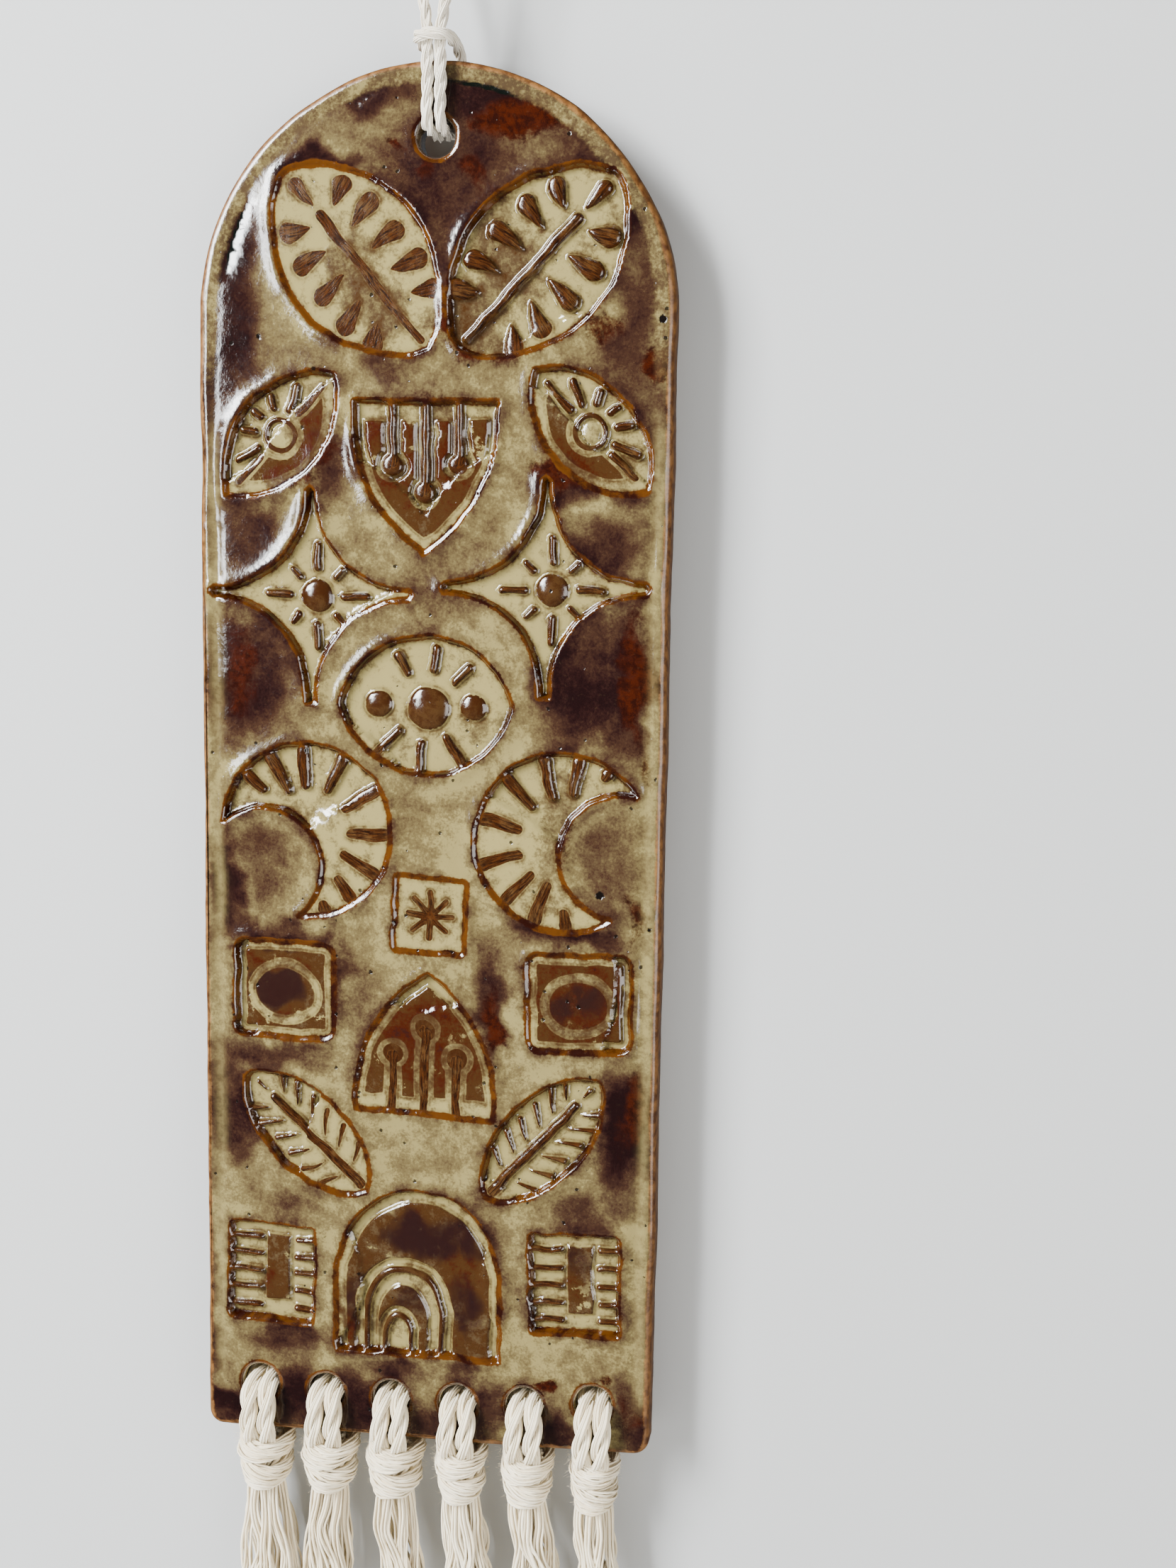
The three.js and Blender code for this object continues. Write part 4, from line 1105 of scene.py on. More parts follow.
# Broad stains in the glaze: place, half width, half height and strength
stains = {
    "plum": (
        (17, 268, 19, 7, 1.05), (-12, 269, 11, 3.5, 0.75), (4, 253, 14, 13, 0.75), (1, 240, 5, 7, 0.6),
        (-40, 236, 6, 22, 1.0), (-43, 212, 5, 14, 0.75), (30, 258, 9, 5, 0.6), (42, 205, 5, 12, 0.6),
        (-24, 257.6, 9, 2.2, 0.9), (38, 250, 3.5, 12, 0.85),
        (41, 230, 5, 24, 0.55), (38, 222, 6, 6, 0.5), (-10, 218, 5, 2.5, 0.5), (-38, 186, 8, 9, 0.75),
        (-20, 200, 5, 7, 0.65), (26, 197, 7, 4, 0.8), (34, 185, 8, 6, 0.7), (2, 175, 7, 8, 0.35),
        (-40, 157, 6, 13, 0.95), (-32, 158, 4, 11, 0.5), (40, 157, 4.5, 16, 1.15),
        (31, 158, 9, 14, 0.95), (-36, 158, 9, 13, 0.85), (-33, 117, 5, 8, 0.3),
        (-42.5, 115, 2.6, 12, 0.9), (-37, 124, 7, 3, 0.5), (36, 120, 6, 14, 0.4), (31, 107, 12, 3, 0.9),
        (-32, 105, 13, 2.5, 0.8), (-31, 93.5, 6, 4.6, 1.2), (30.5, 94, 6, 4.6, 0.9), (13.5, 93, 3, 12, 0.8),
        (-17, 100, 4, 3, 0.6), (-14, 90, 5, 9, 0.35), (-33, 79.5, 12, 3, 0.7), (-42, 66, 5, 11, 0.8),
        (41, 68, 5.5, 13, 1.3), (34, 50, 8, 5, 0.4), (3, 42, 13, 7, 0.95), (9, 27, 5, 9, 0.8),
        (-15, 27, 3, 8, 0.8), (-3, 28, 6, 6, 0.8), (-30, 47, 7, 4, 0.35), (-30, 19, 10, 3, 0.6),
        (-44, 2, 8, 4, 1.1), (-29, 5, 5, 8, 1.0), (-15, 4, 4.5, 8, 0.85), (-7, 13, 6, 3, 0.8),
        (13, 5, 4, 8, 0.6), (0, 0, 5, 5, 0.5), (28, 1, 4, 5, 0.8), (8, 13, 4, 2.5, 0.5), (32, 39, 4, 6, 0.8),
        (44, 6, 3, 10, 0.6), (-48, 20, 2, 30, 0.6),
    ),
    "rust": (
        (17, 264, 11, 4, 1.15), (8, 254, 3, 3, 0.8), (-1, 255, 4, 2.5, 0.7), (-8, 259, 2, 1.2, 0.9),
        (10, 250, 3, 4, 0.6), (33, 226, 4, 5, 0.75), (44.5, 218, 1.6, 3.5, 1.0), (14, 240, 7, 9, 1.1),
        (7, 228, 7, 7, 1.2), (-15, 236, 6, 8, 0.9), (-9, 228, 5, 6, 1.0), (12, 222, 7, 4, 0.9),
        (-39, 158, 4, 12, 0.75),
        (41, 158, 3.5, 15, 1.0), (27, 200, 8, 4, 0.9), (-24, 206, 5, 7, 0.8), (-28, 198, 5, 3, 0.7),
        (-2, 203, 13, 10, 0.85), (26, 127, 4, 14, 0.6), (-26, 131, 4, 4, 0.35), (42, 111, 2, 6, 0.7),
        (13.5, 89, 2.2, 8, 0.9), (-30, 99.5, 9, 2.2, 0.7), (-30, 87, 8, 2, 0.6), (31, 94, 11, 8, 0.95),
        (0, 83, 12, 10, 0.95), (43, 74, 2.5, 8, 1.0), (41, 64, 3, 8, 0.5), (-1, 46, 4, 3, 0.7),
        (8, 36, 4, 8, 0.6), (-17, 24, 2, 6, 0.8), (25, 13.5, 2.2, 2, 1.1), (38, 15, 3, 1.6, 0.8),
        (43, 8, 2, 5, 0.6), (-35, 31, 2, 4, 0.6), (30, 35, 2.5, 4, 0.7), (-12, 99, 2, 2, 0.5),
        (2, 78, 8, 8, 0.5),
        (44, 140, 1.6, 3, 0.8), (9, 148, 4, 3, 0.55),
    ),
}
creases = ((-41.5, 247, 5, 9, 1.3), (13, 271, 12, 3, 0.95), (27, 265.5, 5, 3, 0.6), (38, 256, 3, 5, 0.8),
           (-16, 269.5, 5, 2, 0.5))


def stainAt(points, spots, ragged=2.2):
    points = points + ragged * np.stack([cloudy(points, 5, 31), cloudy(points, 5, 32)], axis=1)
    points += 0.4 * ragged * np.stack([cloudy(points, 1.9, 33), cloudy(points, 1.9, 34)], axis=1)
    total = np.zeros(len(points))
    for x, z, halfWidth, halfHeight, strength in spots:
        away = np.hypot((points[:, 0] - x) / halfWidth, (points[:, 1] - z) / halfHeight)
        total = np.maximum(total, strength * (1 - soft(away, 0.4, 1.5)))
    return total


# What the face's points tell the glaze: where it pooled, ran off ridges and fields, and so on, and where
# shade is painted at the foot of the walls
pressedMarks = ("pool", "ridge", "ground", "line", "halo", "thick", "foot")
surfaceMarks = (*pressedMarks, "band", "plum", "rust", "inward", "crease")


def pressInto(points, face, block, x, z, turn, mirror):
    # Lays one block's print over the face, for the points near it
    outline = np.array(block["outline"])
    reach = np.linalg.norm(outline, axis=1).max() + 6
    near = np.flatnonzero(np.hypot(points[:, 0] - x, points[:, 1] - z) < reach)
    angle = radians(turn)
    back = np.array(((cos(angle), -sin(angle)), (sin(angle), cos(angle))))
    local = (points[near] - (x, z)) @ back * (mirror, 1)
    uneven = pressing["wander"]
    local = local + uneven * np.stack([cloudy(points[near], 3.1, 5), cloudy(points[near], 3.1, 6)], axis=1)
    wall = insideOf(outline)(local)
    depth = pressing["depth"] + 0.1 * cloudy(points[near], 9, 7)
    floor = -depth
    height = floor + 0.05 * cloudy(points[near], 2.2, 8)
    crest = np.zeros(len(near))
    ground = np.zeros(len(near))
    detail = wall.copy()
    grain = np.zeros((len(near), 2))
    raisedAway = np.full(len(near), 9.0)
    for kind, shape, hollows in block.get("fields", []):
        away = shape(local)
        for hollow in hollows:
            away = np.maximum(away, -hollow(local))
        raised = soft(-away, *pressing["ridgeWall"])
        top = -pressing["fieldDrop"] if kind == "field" else -pressing["ridgeDrop"]
        height = np.maximum(height, floor + (top - floor) * raised)
        if kind == "field":
            ground = np.maximum(ground, raised)
        else:
            crest = np.maximum(crest, raised * (0.35 if kind == "disc" else 1))
            ground = np.maximum(ground, raised * (kind == "disc"))
        detail = np.where(np.abs(away) < np.abs(detail), away, detail)
        raisedAway = np.minimum(raisedAway, away)
    for ridge in block["ridges"]:
        away = ridge(local)
        raised = soft(-away, *pressing["ridgeWall"])
        crown = pressing["crown"] * (np.sqrt(np.clip(-away, 0, 1.2)) - 0.75)
        height = np.maximum(height, floor + (crown - pressing["ridgeDrop"] - floor) * raised)
        if hasattr(ridge, "place"):
            forward, across = ridge.place(local)
            grain = np.where((raised > crest)[:, None], np.stack([forward, across], axis=1), grain)
        crest = np.maximum(crest, raised)
        detail = np.where(np.abs(away) < np.abs(detail), away, detail)
        raisedAway = np.minimum(raisedAway, away)
    for (cx, cz), radius, rise, kind in block.get("domes", []):
        share = np.hypot(local[:, 0] - cx, local[:, 1] - cz) / (radius + 0.15)
        cap = np.sqrt(np.clip(1 - share ** 2, 0, 1))
        height = np.maximum(height, floor + rise * cap)
        if kind == "brown":
            crest = np.maximum(crest, 0.8 * soft(cap, 0.0, 0.45))
        away = (share - 1) * radius
        raisedAway = np.minimum(raisedAway, away)
        detail = np.where(np.abs(away) < np.abs(detail), away, detail)
    detail = np.where(wall > 0.4, wall, detail)
    inside = soft(-wall, *pressing["wall"])
    strength = 0.65 + 0.5 * cloudy(points[near], 6, 9)
    lip = pressing["lip"] * strength * bell(wall, pressing["lipAt"], pressing["lipWidth"])
    swell = pressing["swell"] * np.exp(-np.clip(wall, 0, None) / pressing["swellReach"])
    outside = np.maximum(face["height"][near], lip + swell)
    face["height"][near] = outside * (1 - inside) + height * inside
    face["pool"][near] = np.maximum(face["pool"][near], soft(-wall, 0.1, 0.75) * (1 - crest) * (1 - ground))
    face["ridge"][near] = np.maximum(face["ridge"][near] * (1 - inside), crest * inside)
    face["ground"][near] = np.maximum(face["ground"][near], ground * inside * (1 - crest * 0.8))
    face["line"][near] = np.maximum(face["line"][near], bell(wall, 0.12, 0.62))
    # Painted shade: a band along the foot of the stamp's wall and around the foot of its raised parts, where
    # the recess floor meets them, together with the darker glaze there
    foot = np.maximum(bell(wall, -0.6, 0.3), bell(raisedAway, 0.25, 0.34)) * inside
    face["foot"][near] = np.maximum(face["foot"][near] * (1 - inside), foot)
    face["thick"][near] = np.maximum(face["thick"][near], bell(wall, 3.2, 1.5))
    face["halo"][near] = np.maximum(face["halo"][near], np.exp(-np.clip(wall, 0, None) / 1.7) * (wall > -0.5))
    face["grain"][near] = np.where((inside > 0.5)[:, None], grain, face["grain"][near])
    closer = np.abs(detail) < np.abs(face["detail"][near])
    face["detail"][near] = np.where(closer, detail, face["detail"][near])


def faceAt(points):
    count = len(points)
    face = {name: np.zeros(count) for name in ("height", *pressedMarks)}
    face["detail"] = np.full(count, 99.0)
    face["grain"] = np.zeros((count, 2))
    for press in presses:
        pressInto(points, face, *press)
    # The rounded edge, the bands of thick glaze down both sides, and the creases that run around the arch
    inward = np.maximum(inwardOf(points), 0)
    wander = 0.35 * cloudy(points, 11, 11)
    low = 1 - soft(points[:, 1], 196, 214)
    sides = low * soft(points[:, 1], 6, 16) * (np.abs(points[:, 0]) > edge - 9)
    bandAt = np.where(points[:, 0] < 0, 3.3, 2.3) + wander
    band = sides * bell(inward, bandAt, 1.1) * (0.7 + 0.3 * cloudy(points, 19, 19))
    crease = np.clip(stainAt(points, creases, 0.8), 0, 1) * bell(inward, 4.6 + 2.2 * wander, 0.5)
    trough = 0.3 * bell(inward, 3.4 + wander, 1.1) * (0.4 + 0.6 * sides)
    face["height"] += 0.1 * bell(inward, 1.7, 0.6) - 0.5 * np.exp(-inward / 0.7) - trough - 0.55 * crease
    face["height"] += 0.12 * cloudy(points, 17, 13) + 0.05 * cloudy(points, 5, 14)
    face["inward"] = inward
    face["crease"] = crease
    face["band"] = band
    for x, z, radius in slabHoles():
        away = np.hypot(points[:, 0] - x, points[:, 1] - z) - radius
        face["height"] += 0.1 * bell(away, 1.3, 0.9) - 0.1 * np.exp(-np.clip(away - 0.5, 0, None) / 0.3)
        face["line"] = np.maximum(face["line"], bell(away, 0.45, 0.6))
        face["halo"] = np.maximum(face["halo"], np.exp(-np.clip(away, 0, None) / 1.5))
    face["plum"] = stainAt(points, stains["plum"])
    face["rust"] = stainAt(points, stains["rust"])
    return face


# The slab's mesh: fine triangles along the walls of the stamps, coarser ones on the open face

slabMesh = {"fine": 0.36, "fineReach": 0.85, "middleReach": 2.4, "rimReach": 5.6, "backStep": 5, "snap": 0.3}


def rimRing(outline, inset):
    ahead = np.roll(outline, -1, axis=0) - np.roll(outline, 1, axis=0)
    ahead /= np.linalg.norm(ahead, axis=1)[:, None]
    inwards = np.stack([-ahead[:, 1], ahead[:, 0]], axis=1)
    return outline + inwards * inset


def holeRing(x, z, radius):
    return np.array(arc(x, z, radius, 0, 360 - 360 / slab["holeSides"], slab["holeSides"] - 1))


def inwardOf(points):
    # How far inside the slab's edge each point lies
    x, z, corner = points[:, 0], points[:, 1], slab["cornerRadius"]
    middle = slab["top"] - edge
    side, low = edge - np.abs(x), z - bottomAt(x)
    rounded = corner - np.hypot(corner - side, corner - low)
    square = np.where((side < corner) & (low < corner), rounded, np.minimum(side, low))
    return np.where(z > middle, edge - np.hypot(x, z - middle), square)


def facePoints():
    # A fine grid of points, thinned where the face has no detail, and drawn onto the walls of the stamps
    step = slabMesh["fine"]
    xs = np.arange(-edge, edge, step)
    zs = np.arange(-slab["bottomDrop"], slab["top"], step)
    gridX, gridZ = np.meshgrid(xs, zs)
    points = np.stack([gridX.ravel(), gridZ.ravel()], axis=1)
    face = faceAt(points)
    detail = face["detail"].reshape(gridX.shape)
    slopeZ, slopeX = np.gradient(detail, step)
    column, row = np.meshgrid(np.arange(len(xs)), np.arange(len(zs)))
    middle = ((column % 2 == 0) & (row % 2 == 0)).ravel()
    wide = ((column % 4 == 0) & (row % 4 == 0)).ravel()
    away = np.abs(face["detail"])
    near = away < slabMesh["fineReach"]
    busy = (away < slabMesh["middleReach"]) | (face["inward"] < slabMesh["rimReach"])
    keep = near | (middle & busy) | wide
    for x, z, radius in slabHoles():
        outside = np.hypot(points[:, 0] - x, points[:, 1] - z) - radius - slab["holeRim"][0][0]
        keep = (keep | (middle & (outside < 3))) & (outside > 0.3)
    keep &= face["inward"] > slab["rim"][0][0] + 0.3
    slope = np.stack([slopeX.ravel(), slopeZ.ravel()], axis=1)
    steep = np.abs(np.linalg.norm(slope, axis=1) - 1) < 0.15
    snap = slabMesh["snap"]
    drawn = np.round(face["detail"] / snap) * snap - face["detail"]
    shift = np.where((near & steep)[:, None], slope * drawn[:, None], 0)
    return (points + shift)[keep]


def triangulated(rings, points):
    # Triangles, anticlockwise from the front, between the first ring and the others, which are holes
    flat = np.vstack(rings + [points])
    ringOf = np.full(len(flat), -1)
    edges, start = [], 0
    for k, ring in enumerate(rings):
        count = len(ring)
        edges += [(start + i, start + (i + 1) % count) for i in range(count)]
        ringOf[start:start + count] = k
        start += count
    found = delaunay_2d_cdt([Vector(p) for p in flat.tolist()], edges, [], 0, 1e-7)
    where = np.array([sources[0] if sources else -1 for sources in found[3]])
    triangles = where[np.array(found[2])]
    a, b, c = (flat[triangles[:, i]] for i in range(3))
    turn = (b[:, 0] - a[:, 0]) * (c[:, 1] - a[:, 1]) - (b[:, 1] - a[:, 1]) * (c[:, 0] - a[:, 0])
    triangles[turn < 0] = triangles[turn < 0][:, ::-1]
    onRings = ringOf[triangles]
    sameRing = (onRings == onRings[:, :1]).all(axis=1)
    return flat, triangles[(np.abs(turn) > 1e-5) & ~(sameRing & (onRings[:, 0] > 0))]


def skinBetween(first, second, count, flipped=False):
    around = np.arange(count)
    after = (around + 1) % count
    quads = np.stack([first + around, second + around, second + after, first + after], axis=1)
    return quads[:, ::-1] if flipped else quads


def buildSlab():
    outline = slabOutline()
    frontRings = [rimRing(outline, slab["rim"][0][0])]
    frontRings += [holeRing(x, z, radius + slab["holeRim"][0][0]) for x, z, radius in slabHoles()]
    flat, front = triangulated(frontRings, facePoints())
    places = [flat]
    depths = [None]
    faces = [front]
    clay = [np.zeros(len(front), int)]
    total = len(flat)
    counts = [len(ring) for ring in frontRings]
    starts = np.cumsum([0] + counts[:-1])
    backStarts = []
    for k, (count, first) in enumerate(zip(counts, starts)):
        profile = slab["rim"] if k == 0 else slab["holeRim"]
        for inset, y in profile[1:]:
            if k == 0:
                ring = rimRing(outline, inset)
            else:
                x, z, radius = slabHoles()[k - 1]
                ring = holeRing(x, z, radius + inset)
            places.append(ring)
            depths.append(np.full(count, y))
            faces.append(skinBetween(first, total, count, k > 0))
            clay.append(np.zeros(count, int))
            first = total
            total += count
        backStarts.append(first)
    backRings = [rimRing(outline, slab["rim"][-1][0])]
    backRings += [holeRing(x, z, radius + slab["holeRim"][-1][0]) for x, z, radius in slabHoles()]
    step = slabMesh["backStep"]
    gridX, gridZ = np.meshgrid(np.arange(-edge, edge, step), np.arange(0, slab["top"], step))
    inner = np.stack([gridX.ravel(), gridZ.ravel()], axis=1)
    clear = inwardOf(inner) > 3
    for x, z, radius in slabHoles():
        clear &= np.hypot(inner[:, 0] - x, inner[:, 1] - z) > radius + 2
    inner = inner[clear]
    flatBack, back = triangulated(backRings, inner)
    ringTotal = sum(counts)
    renamed = np.concatenate([start + np.arange(count) for start, count in zip(backStarts, counts)]
                             + [total + np.arange(len(inner))])
    faces.append(renamed[back][:, ::-1])
    clay.append(np.ones(len(back), int))
    places.append(flatBack[ringTotal:])
    depths.append(slab["thickness"] - 0.12 * (1 + cloudy(inner, 12, 21)))
    points = np.vstack(places)
    face = faceAt(points)
    deep = np.concatenate([-face["height"][:len(flat)]] + depths[1:])
    # The outer rings of the front keep their own depth, so that the rim meets the face
    deep[:counts[0]] = slab["rim"][0][1] + 0.6 * (deep[:counts[0]] - slab["rim"][0][1])
    wobble = slab["wobble"]
    moved = points + wobble * np.stack([cloudy(points, 14, 15), cloudy(points, 14, 16)], axis=1)
    moved += 0.3 * wobble * np.stack([cloudy(points, 3.5, 17), cloudy(points, 3.5, 18)], axis=1)
    vertices = np.stack([moved[:, 0] * mm, deep * mm, moved[:, 1] * mm + datum], axis=1)
    front = np.arange(len(points)) < len(flat)
    for name in (*pressedMarks, "band"):
        face[name] = np.where(front, face[name], 0)
    return vertices, faces, clay, face, deep


def plaqueObject():
    vertices, faces, clay, face, deep = buildSlab()
    mesh = bpy.data.meshes.new("stamped_slab")
    mesh.from_pydata(vertices.tolist(), [], [list(f) for group in faces for f in group.tolist()])
    mesh.polygons.foreach_set("material_index", np.concatenate(clay))
    mesh.polygons.foreach_set("use_smooth", np.ones(len(mesh.polygons), bool))
    scalars = {name: face[name] for name in surfaceMarks}
    scalars["deep"] = deep
    for name, values in scalars.items():
        mesh.attributes.new(name, "FLOAT", "POINT").data.foreach_set("value", values.astype(np.float32))
    grain = np.hstack([face["grain"], np.zeros((len(vertices), 1))]).astype(np.float32)
    mesh.attributes.new("grain", "FLOAT_VECTOR", "POINT").data.foreach_set("vector", grain.ravel())
    mesh.update()
    made = addObject("stamped_slab", mesh)
    for material in (glazedStoneware(), bareClay()):
        mesh.materials.append(material)
    return made


# Glaze and clay

glazeColours = {
    "pool": srgb(131, 119, 75),
    "cream": srgb(121, 109, 69),
    "olive": srgb(89, 77, 48),
    "tan": srgb(65, 51, 33),
    "mauve": srgb(48, 30, 20),
    "plum": srgb(29, 12, 10),
    "deepPlum": srgb(19, 5, 5),
    "brown": srgb(52, 31, 11),
    "rust": srgb(49, 14, 2),
    "deepRust": srgb(28, 5, 1),
    "ridge": srgb(58, 29, 6),
    "ridgeDark": srgb(19, 5, 1),
    "ridgePale": srgb(82, 61, 32),
    "rim": srgb(121, 82, 40),
    "line": srgb(70, 38, 7),
    "greenBlack": srgb(5, 8, 5),
    "speck": srgb(10, 6, 4),
}
clayColours = {"bare": srgb(176, 142, 104), "toasted": srgb(140, 92, 54), "speck": srgb(60, 42, 30)}


def claySpeckGroup():
    tree, given, out = shaderGroup(
        "clay specks",
        [("Size", "NodeSocketFloat", 0.001), ("Amount", "NodeSocketFloat", 0.1)],
        [("Mask", "NodeSocketFloat"), ("Fine", "NodeSocketFloat")],
    )
    place = addNode(tree, "ShaderNodeTexCoord").outputs["Object"]
    bent = addNode(tree, "ShaderNodeTexNoise", {"Vector": place, "Scale": 1400.0, "Detail": 2.0})
    lean = scaled(tree, vectorMaths(tree, "SUBTRACT", bent.outputs["Color"], (0.5, 0.5, 0.5)), 0.0007)
    cells = addNode(tree, "ShaderNodeTexVoronoi", {
        "Vector": vectorMaths(tree, "ADD", place, lean), "Scale": maths(tree, "DIVIDE", 1.0, given["Size"])})
    chance = addNode(tree, "ShaderNodeSeparateColor", {0: cells.outputs["Color"]}).outputs
    shown = maths(tree, "LESS_THAN", chance[0], given["Amount"])
    radius = maths(tree, "MULTIPLY_ADD", chance[1], 0.12, 0.05)
    inside = stepped(tree, maths(tree, "SUBTRACT", radius, cells.outputs["Distance"]), -0.02, 0.03)
    tree.links.new(times(tree, inside, shown), out["Mask"])
    tree.links.new(noise(tree, place, 0.0009, 4.0, 0.6), out["Fine"])
    return tree


claySpecks = claySpeckGroup()


def blended(tree, value, steps):
    # A run of colours along a value: pairs of where each colour starts to come in and is full
    colour = steps[0]
    for low, high, other in steps[1:]:
        colour = mixed(tree, stepped(tree, value, low, high), colour, other)
    return colour


def added(tree, first, *terms):
    # The first value plus each other value less its middle, times its weight
    for value, middle, weight in terms:
        first = maths(tree, "MULTIPLY_ADD", value, weight, maths(tree, "SUBTRACT", first, middle * weight))
    return first


def glazedStoneware():
    material, tree, skin = newMaterial("glazed stoneware")
    colour = glazeColours
    place = addNode(tree, "ShaderNodeTexCoord").outputs["Object"]
    mark = {name: attribute(tree, name).outputs["Fac"] for name in surfaceMarks}
    broad = noise(tree, place, 0.018, 2.0, 0.5, 0.5)
    cloud = noise(tree, place, 0.006, 5.0, 0.6, 0.5)
    small = noise(tree, place, 0.0019, 5.0, 0.7, 0.2)
    fine = noise(tree, place, 0.00055, 3.0, 0.65)
    specks = placeGroup(tree, claySpecks, {"Size": 0.0024, "Amount": 0.2})
    bigSpecks = placeGroup(tree, claySpecks, {"Size": 0.005, "Amount": 0.04})

    # Open face: thick cream glaze, broken by tan and plum, then by rust
    fringe = times(tree, mark["halo"], stepped(tree, cloud, 0.3, 0.62, 0.15, 1.0))
    height = addNode(tree, "ShaderNodeSeparateXYZ", {0: place}).outputs[2]
    upper = stepped(tree, height, -0.16, -0.07)
    tone = added(tree, 0.36, (broad, 0.5, 0.9), (cloud, 0.5, 0.9), (small, 0.5, 0.75), (fine, 0.5, 0.7),
                 (mark["plum"], 0.0, 1.0), (fringe, 0.0, 0.55), (mark["thick"], 0.0, -0.16),
                 (upper, 0.0, 0.09))
    skinColour = blended(tree, tone, (
        colour["cream"], (0.1, 0.42, colour["olive"]), (0.34, 0.72, colour["tan"]),
        (0.6, 0.95, colour["mauve"]), (0.85, 1.3, colour["plum"]), (1.2, 1.5, colour["deepPlum"])))
    rusty = added(tree, mark["rust"], (cloud, 0.5, 1.3), (small, 0.5, 0.9), (fine, 0.5, 0.5))
    rustColour = mixed(tree, stepped(tree, small, 0.4, 0.62), colour["rust"], colour["deepRust"])
    skinColour = mixed(tree, stepped(tree, rusty, 0.35, 0.95), skinColour, rustColour)

    # Rim: a bare rust edge, thick pale glaze down the sides, mottled tan and dark creases around the arch
    arched = stepped(tree, height, -0.104, -0.088)
    wavering = added(tree, mark["inward"], (cloud, 0.5, 1.4), (small, 0.5, 0.8))
    bandColour = mixed(tree, stepped(tree, small, 0.35, 0.7), colour["cream"], colour["olive"])
    skinColour = mixed(tree, times(tree, mark["band"], 0.85), skinColour, bandColour)
    archTone = added(tree, 0.5, (cloud, 0.5, 1.2), (small, 0.5, 1.2), (fine, 0.5, 0.8))
    archColour = blended(tree, archTone, (
        colour["cream"], (0.2, 0.45, colour["olive"]), (0.4, 0.65, colour["tan"]),
        (0.75, 1.1, colour["plum"])))
    archEdge = times(tree, arched, stepped(tree, wavering, 4.4, 3.2))
    skinColour = mixed(tree, times(tree, archEdge, 0.85), skinColour, archColour)
    outer = stepped(tree, wavering, 1.5, 0.8)
    rimColour = mixed(tree, stepped(tree, small, 0.35, 0.65), colour["rim"], colour["line"])
    skinColour = mixed(tree, outer, skinColour, rimColour)
    creased = added(tree, mark["crease"], (small, 0.5, 0.5))
    skinColour = mixed(tree, stepped(tree, creased, 0.25, 0.6), skinColour, colour["greenBlack"])

    # Stamps: brown fields and ridges where the glaze ran thin, cream where it pooled, and painted shade at
    # the foot of the walls
    fieldTone = added(tree, 0.4, (cloud, 0.5, 1.3), (small, 0.5, 1.1), (fine, 0.5, 0.8),
                      (mark["rust"], 0.5, 0.5))
    fieldColour = blended(tree, fieldTone, (
        colour["tan"], (-0.1, 0.2, colour["brown"]), (0.3, 0.75, colour["rust"]),
        (0.7, 1.05, colour["plum"])))
    plummy = added(tree, mark["plum"], (cloud, 0.5, 1.0))
    fieldColour = mixed(tree, stepped(tree, plummy, 0.4, 1.0), fieldColour, colour["plum"])
    broken = stepped(tree, added(tree, cloud, (small, 0.5, 0.6)), 0.28, 0.42)
    bare = times(tree, mark["ground"], broken)
    skinColour = mixed(tree, stepped(tree, bare, 0.25, 0.75), skinColour, fieldColour)
    murky = added(tree, 0.0, (cloud, 0.5, 1.2), (small, 0.5, 0.9), (fine, 0.5, 0.6),
                  (mark["rust"], 0.0, 0.45), (mark["plum"], 0.0, 0.15))
    poolColour = blended(tree, murky, (
        colour["pool"], (-0.02, 0.3, colour["olive"]), (0.25, 0.5, colour["tan"]),
        (0.42, 0.75, colour["brown"])))
    skinColour = mixed(tree, stepped(tree, mark["pool"], 0.25, 0.7), skinColour, poolColour)
    grain = attribute(tree, "grain").outputs["Vector"]
    streaks = noise(tree, vectorMaths(tree, "MULTIPLY", grain, (0.3, 2.6, 1.0)), 1.0, 4.0, 0.65)
    ridgeColour = mixed(tree, stepped(tree, streaks, 0.36, 0.64), colour["ridgeDark"], colour["ridge"])
    pale = times(tree, stepped(tree, added(tree, cloud, (small, 0.5, 0.8)), 0.42, 0.7),
                 stepped(tree, streaks, 0.38, 0.6))
    ridgeColour = mixed(tree, times(tree, pale, 0.5), ridgeColour, colour["ridgePale"])
    skinColour = mixed(tree, stepped(tree, mark["ridge"], 0.3, 0.6), skinColour, ridgeColour)
    # Painted shade: brown darkening at the foot of the walls and around the raised parts inside the stamps,
    # together with darker glaze there
    footShade = stepped(tree, added(tree, cloud, (small, 0.5, 0.8)), 0.3, 0.65, 0.2, 0.9)
    footShade = times(tree, mark["foot"], footShade)
    skinColour = mixed(tree, footShade, skinColour, colour["brown"])
    lineEdge = added(tree, mark["line"], (small, 0.5, 0.7), (fine, 0.5, 0.4))
    lineColour = mixed(tree, stepped(tree, cloud, 0.4, 0.62), colour["line"], colour["deepRust"])
    skinColour = mixed(tree, stepped(tree, lineEdge, 0.22, 0.5), skinColour, lineColour)

    # Dark specks through everything
    skinColour = mixed(tree, stepped(tree, specks["Fine"], 0.6, 0.8, 0.0, 0.35), skinColour, colour["tan"])
    skinColour = mixed(tree, times(tree, specks["Mask"], 0.85), skinColour, colour["speck"])
    skinColour = mixed(tree, bigSpecks["Mask"], skinColour, colour["speck"])
    tree.links.new(skinColour, skin.inputs["Base Color"])

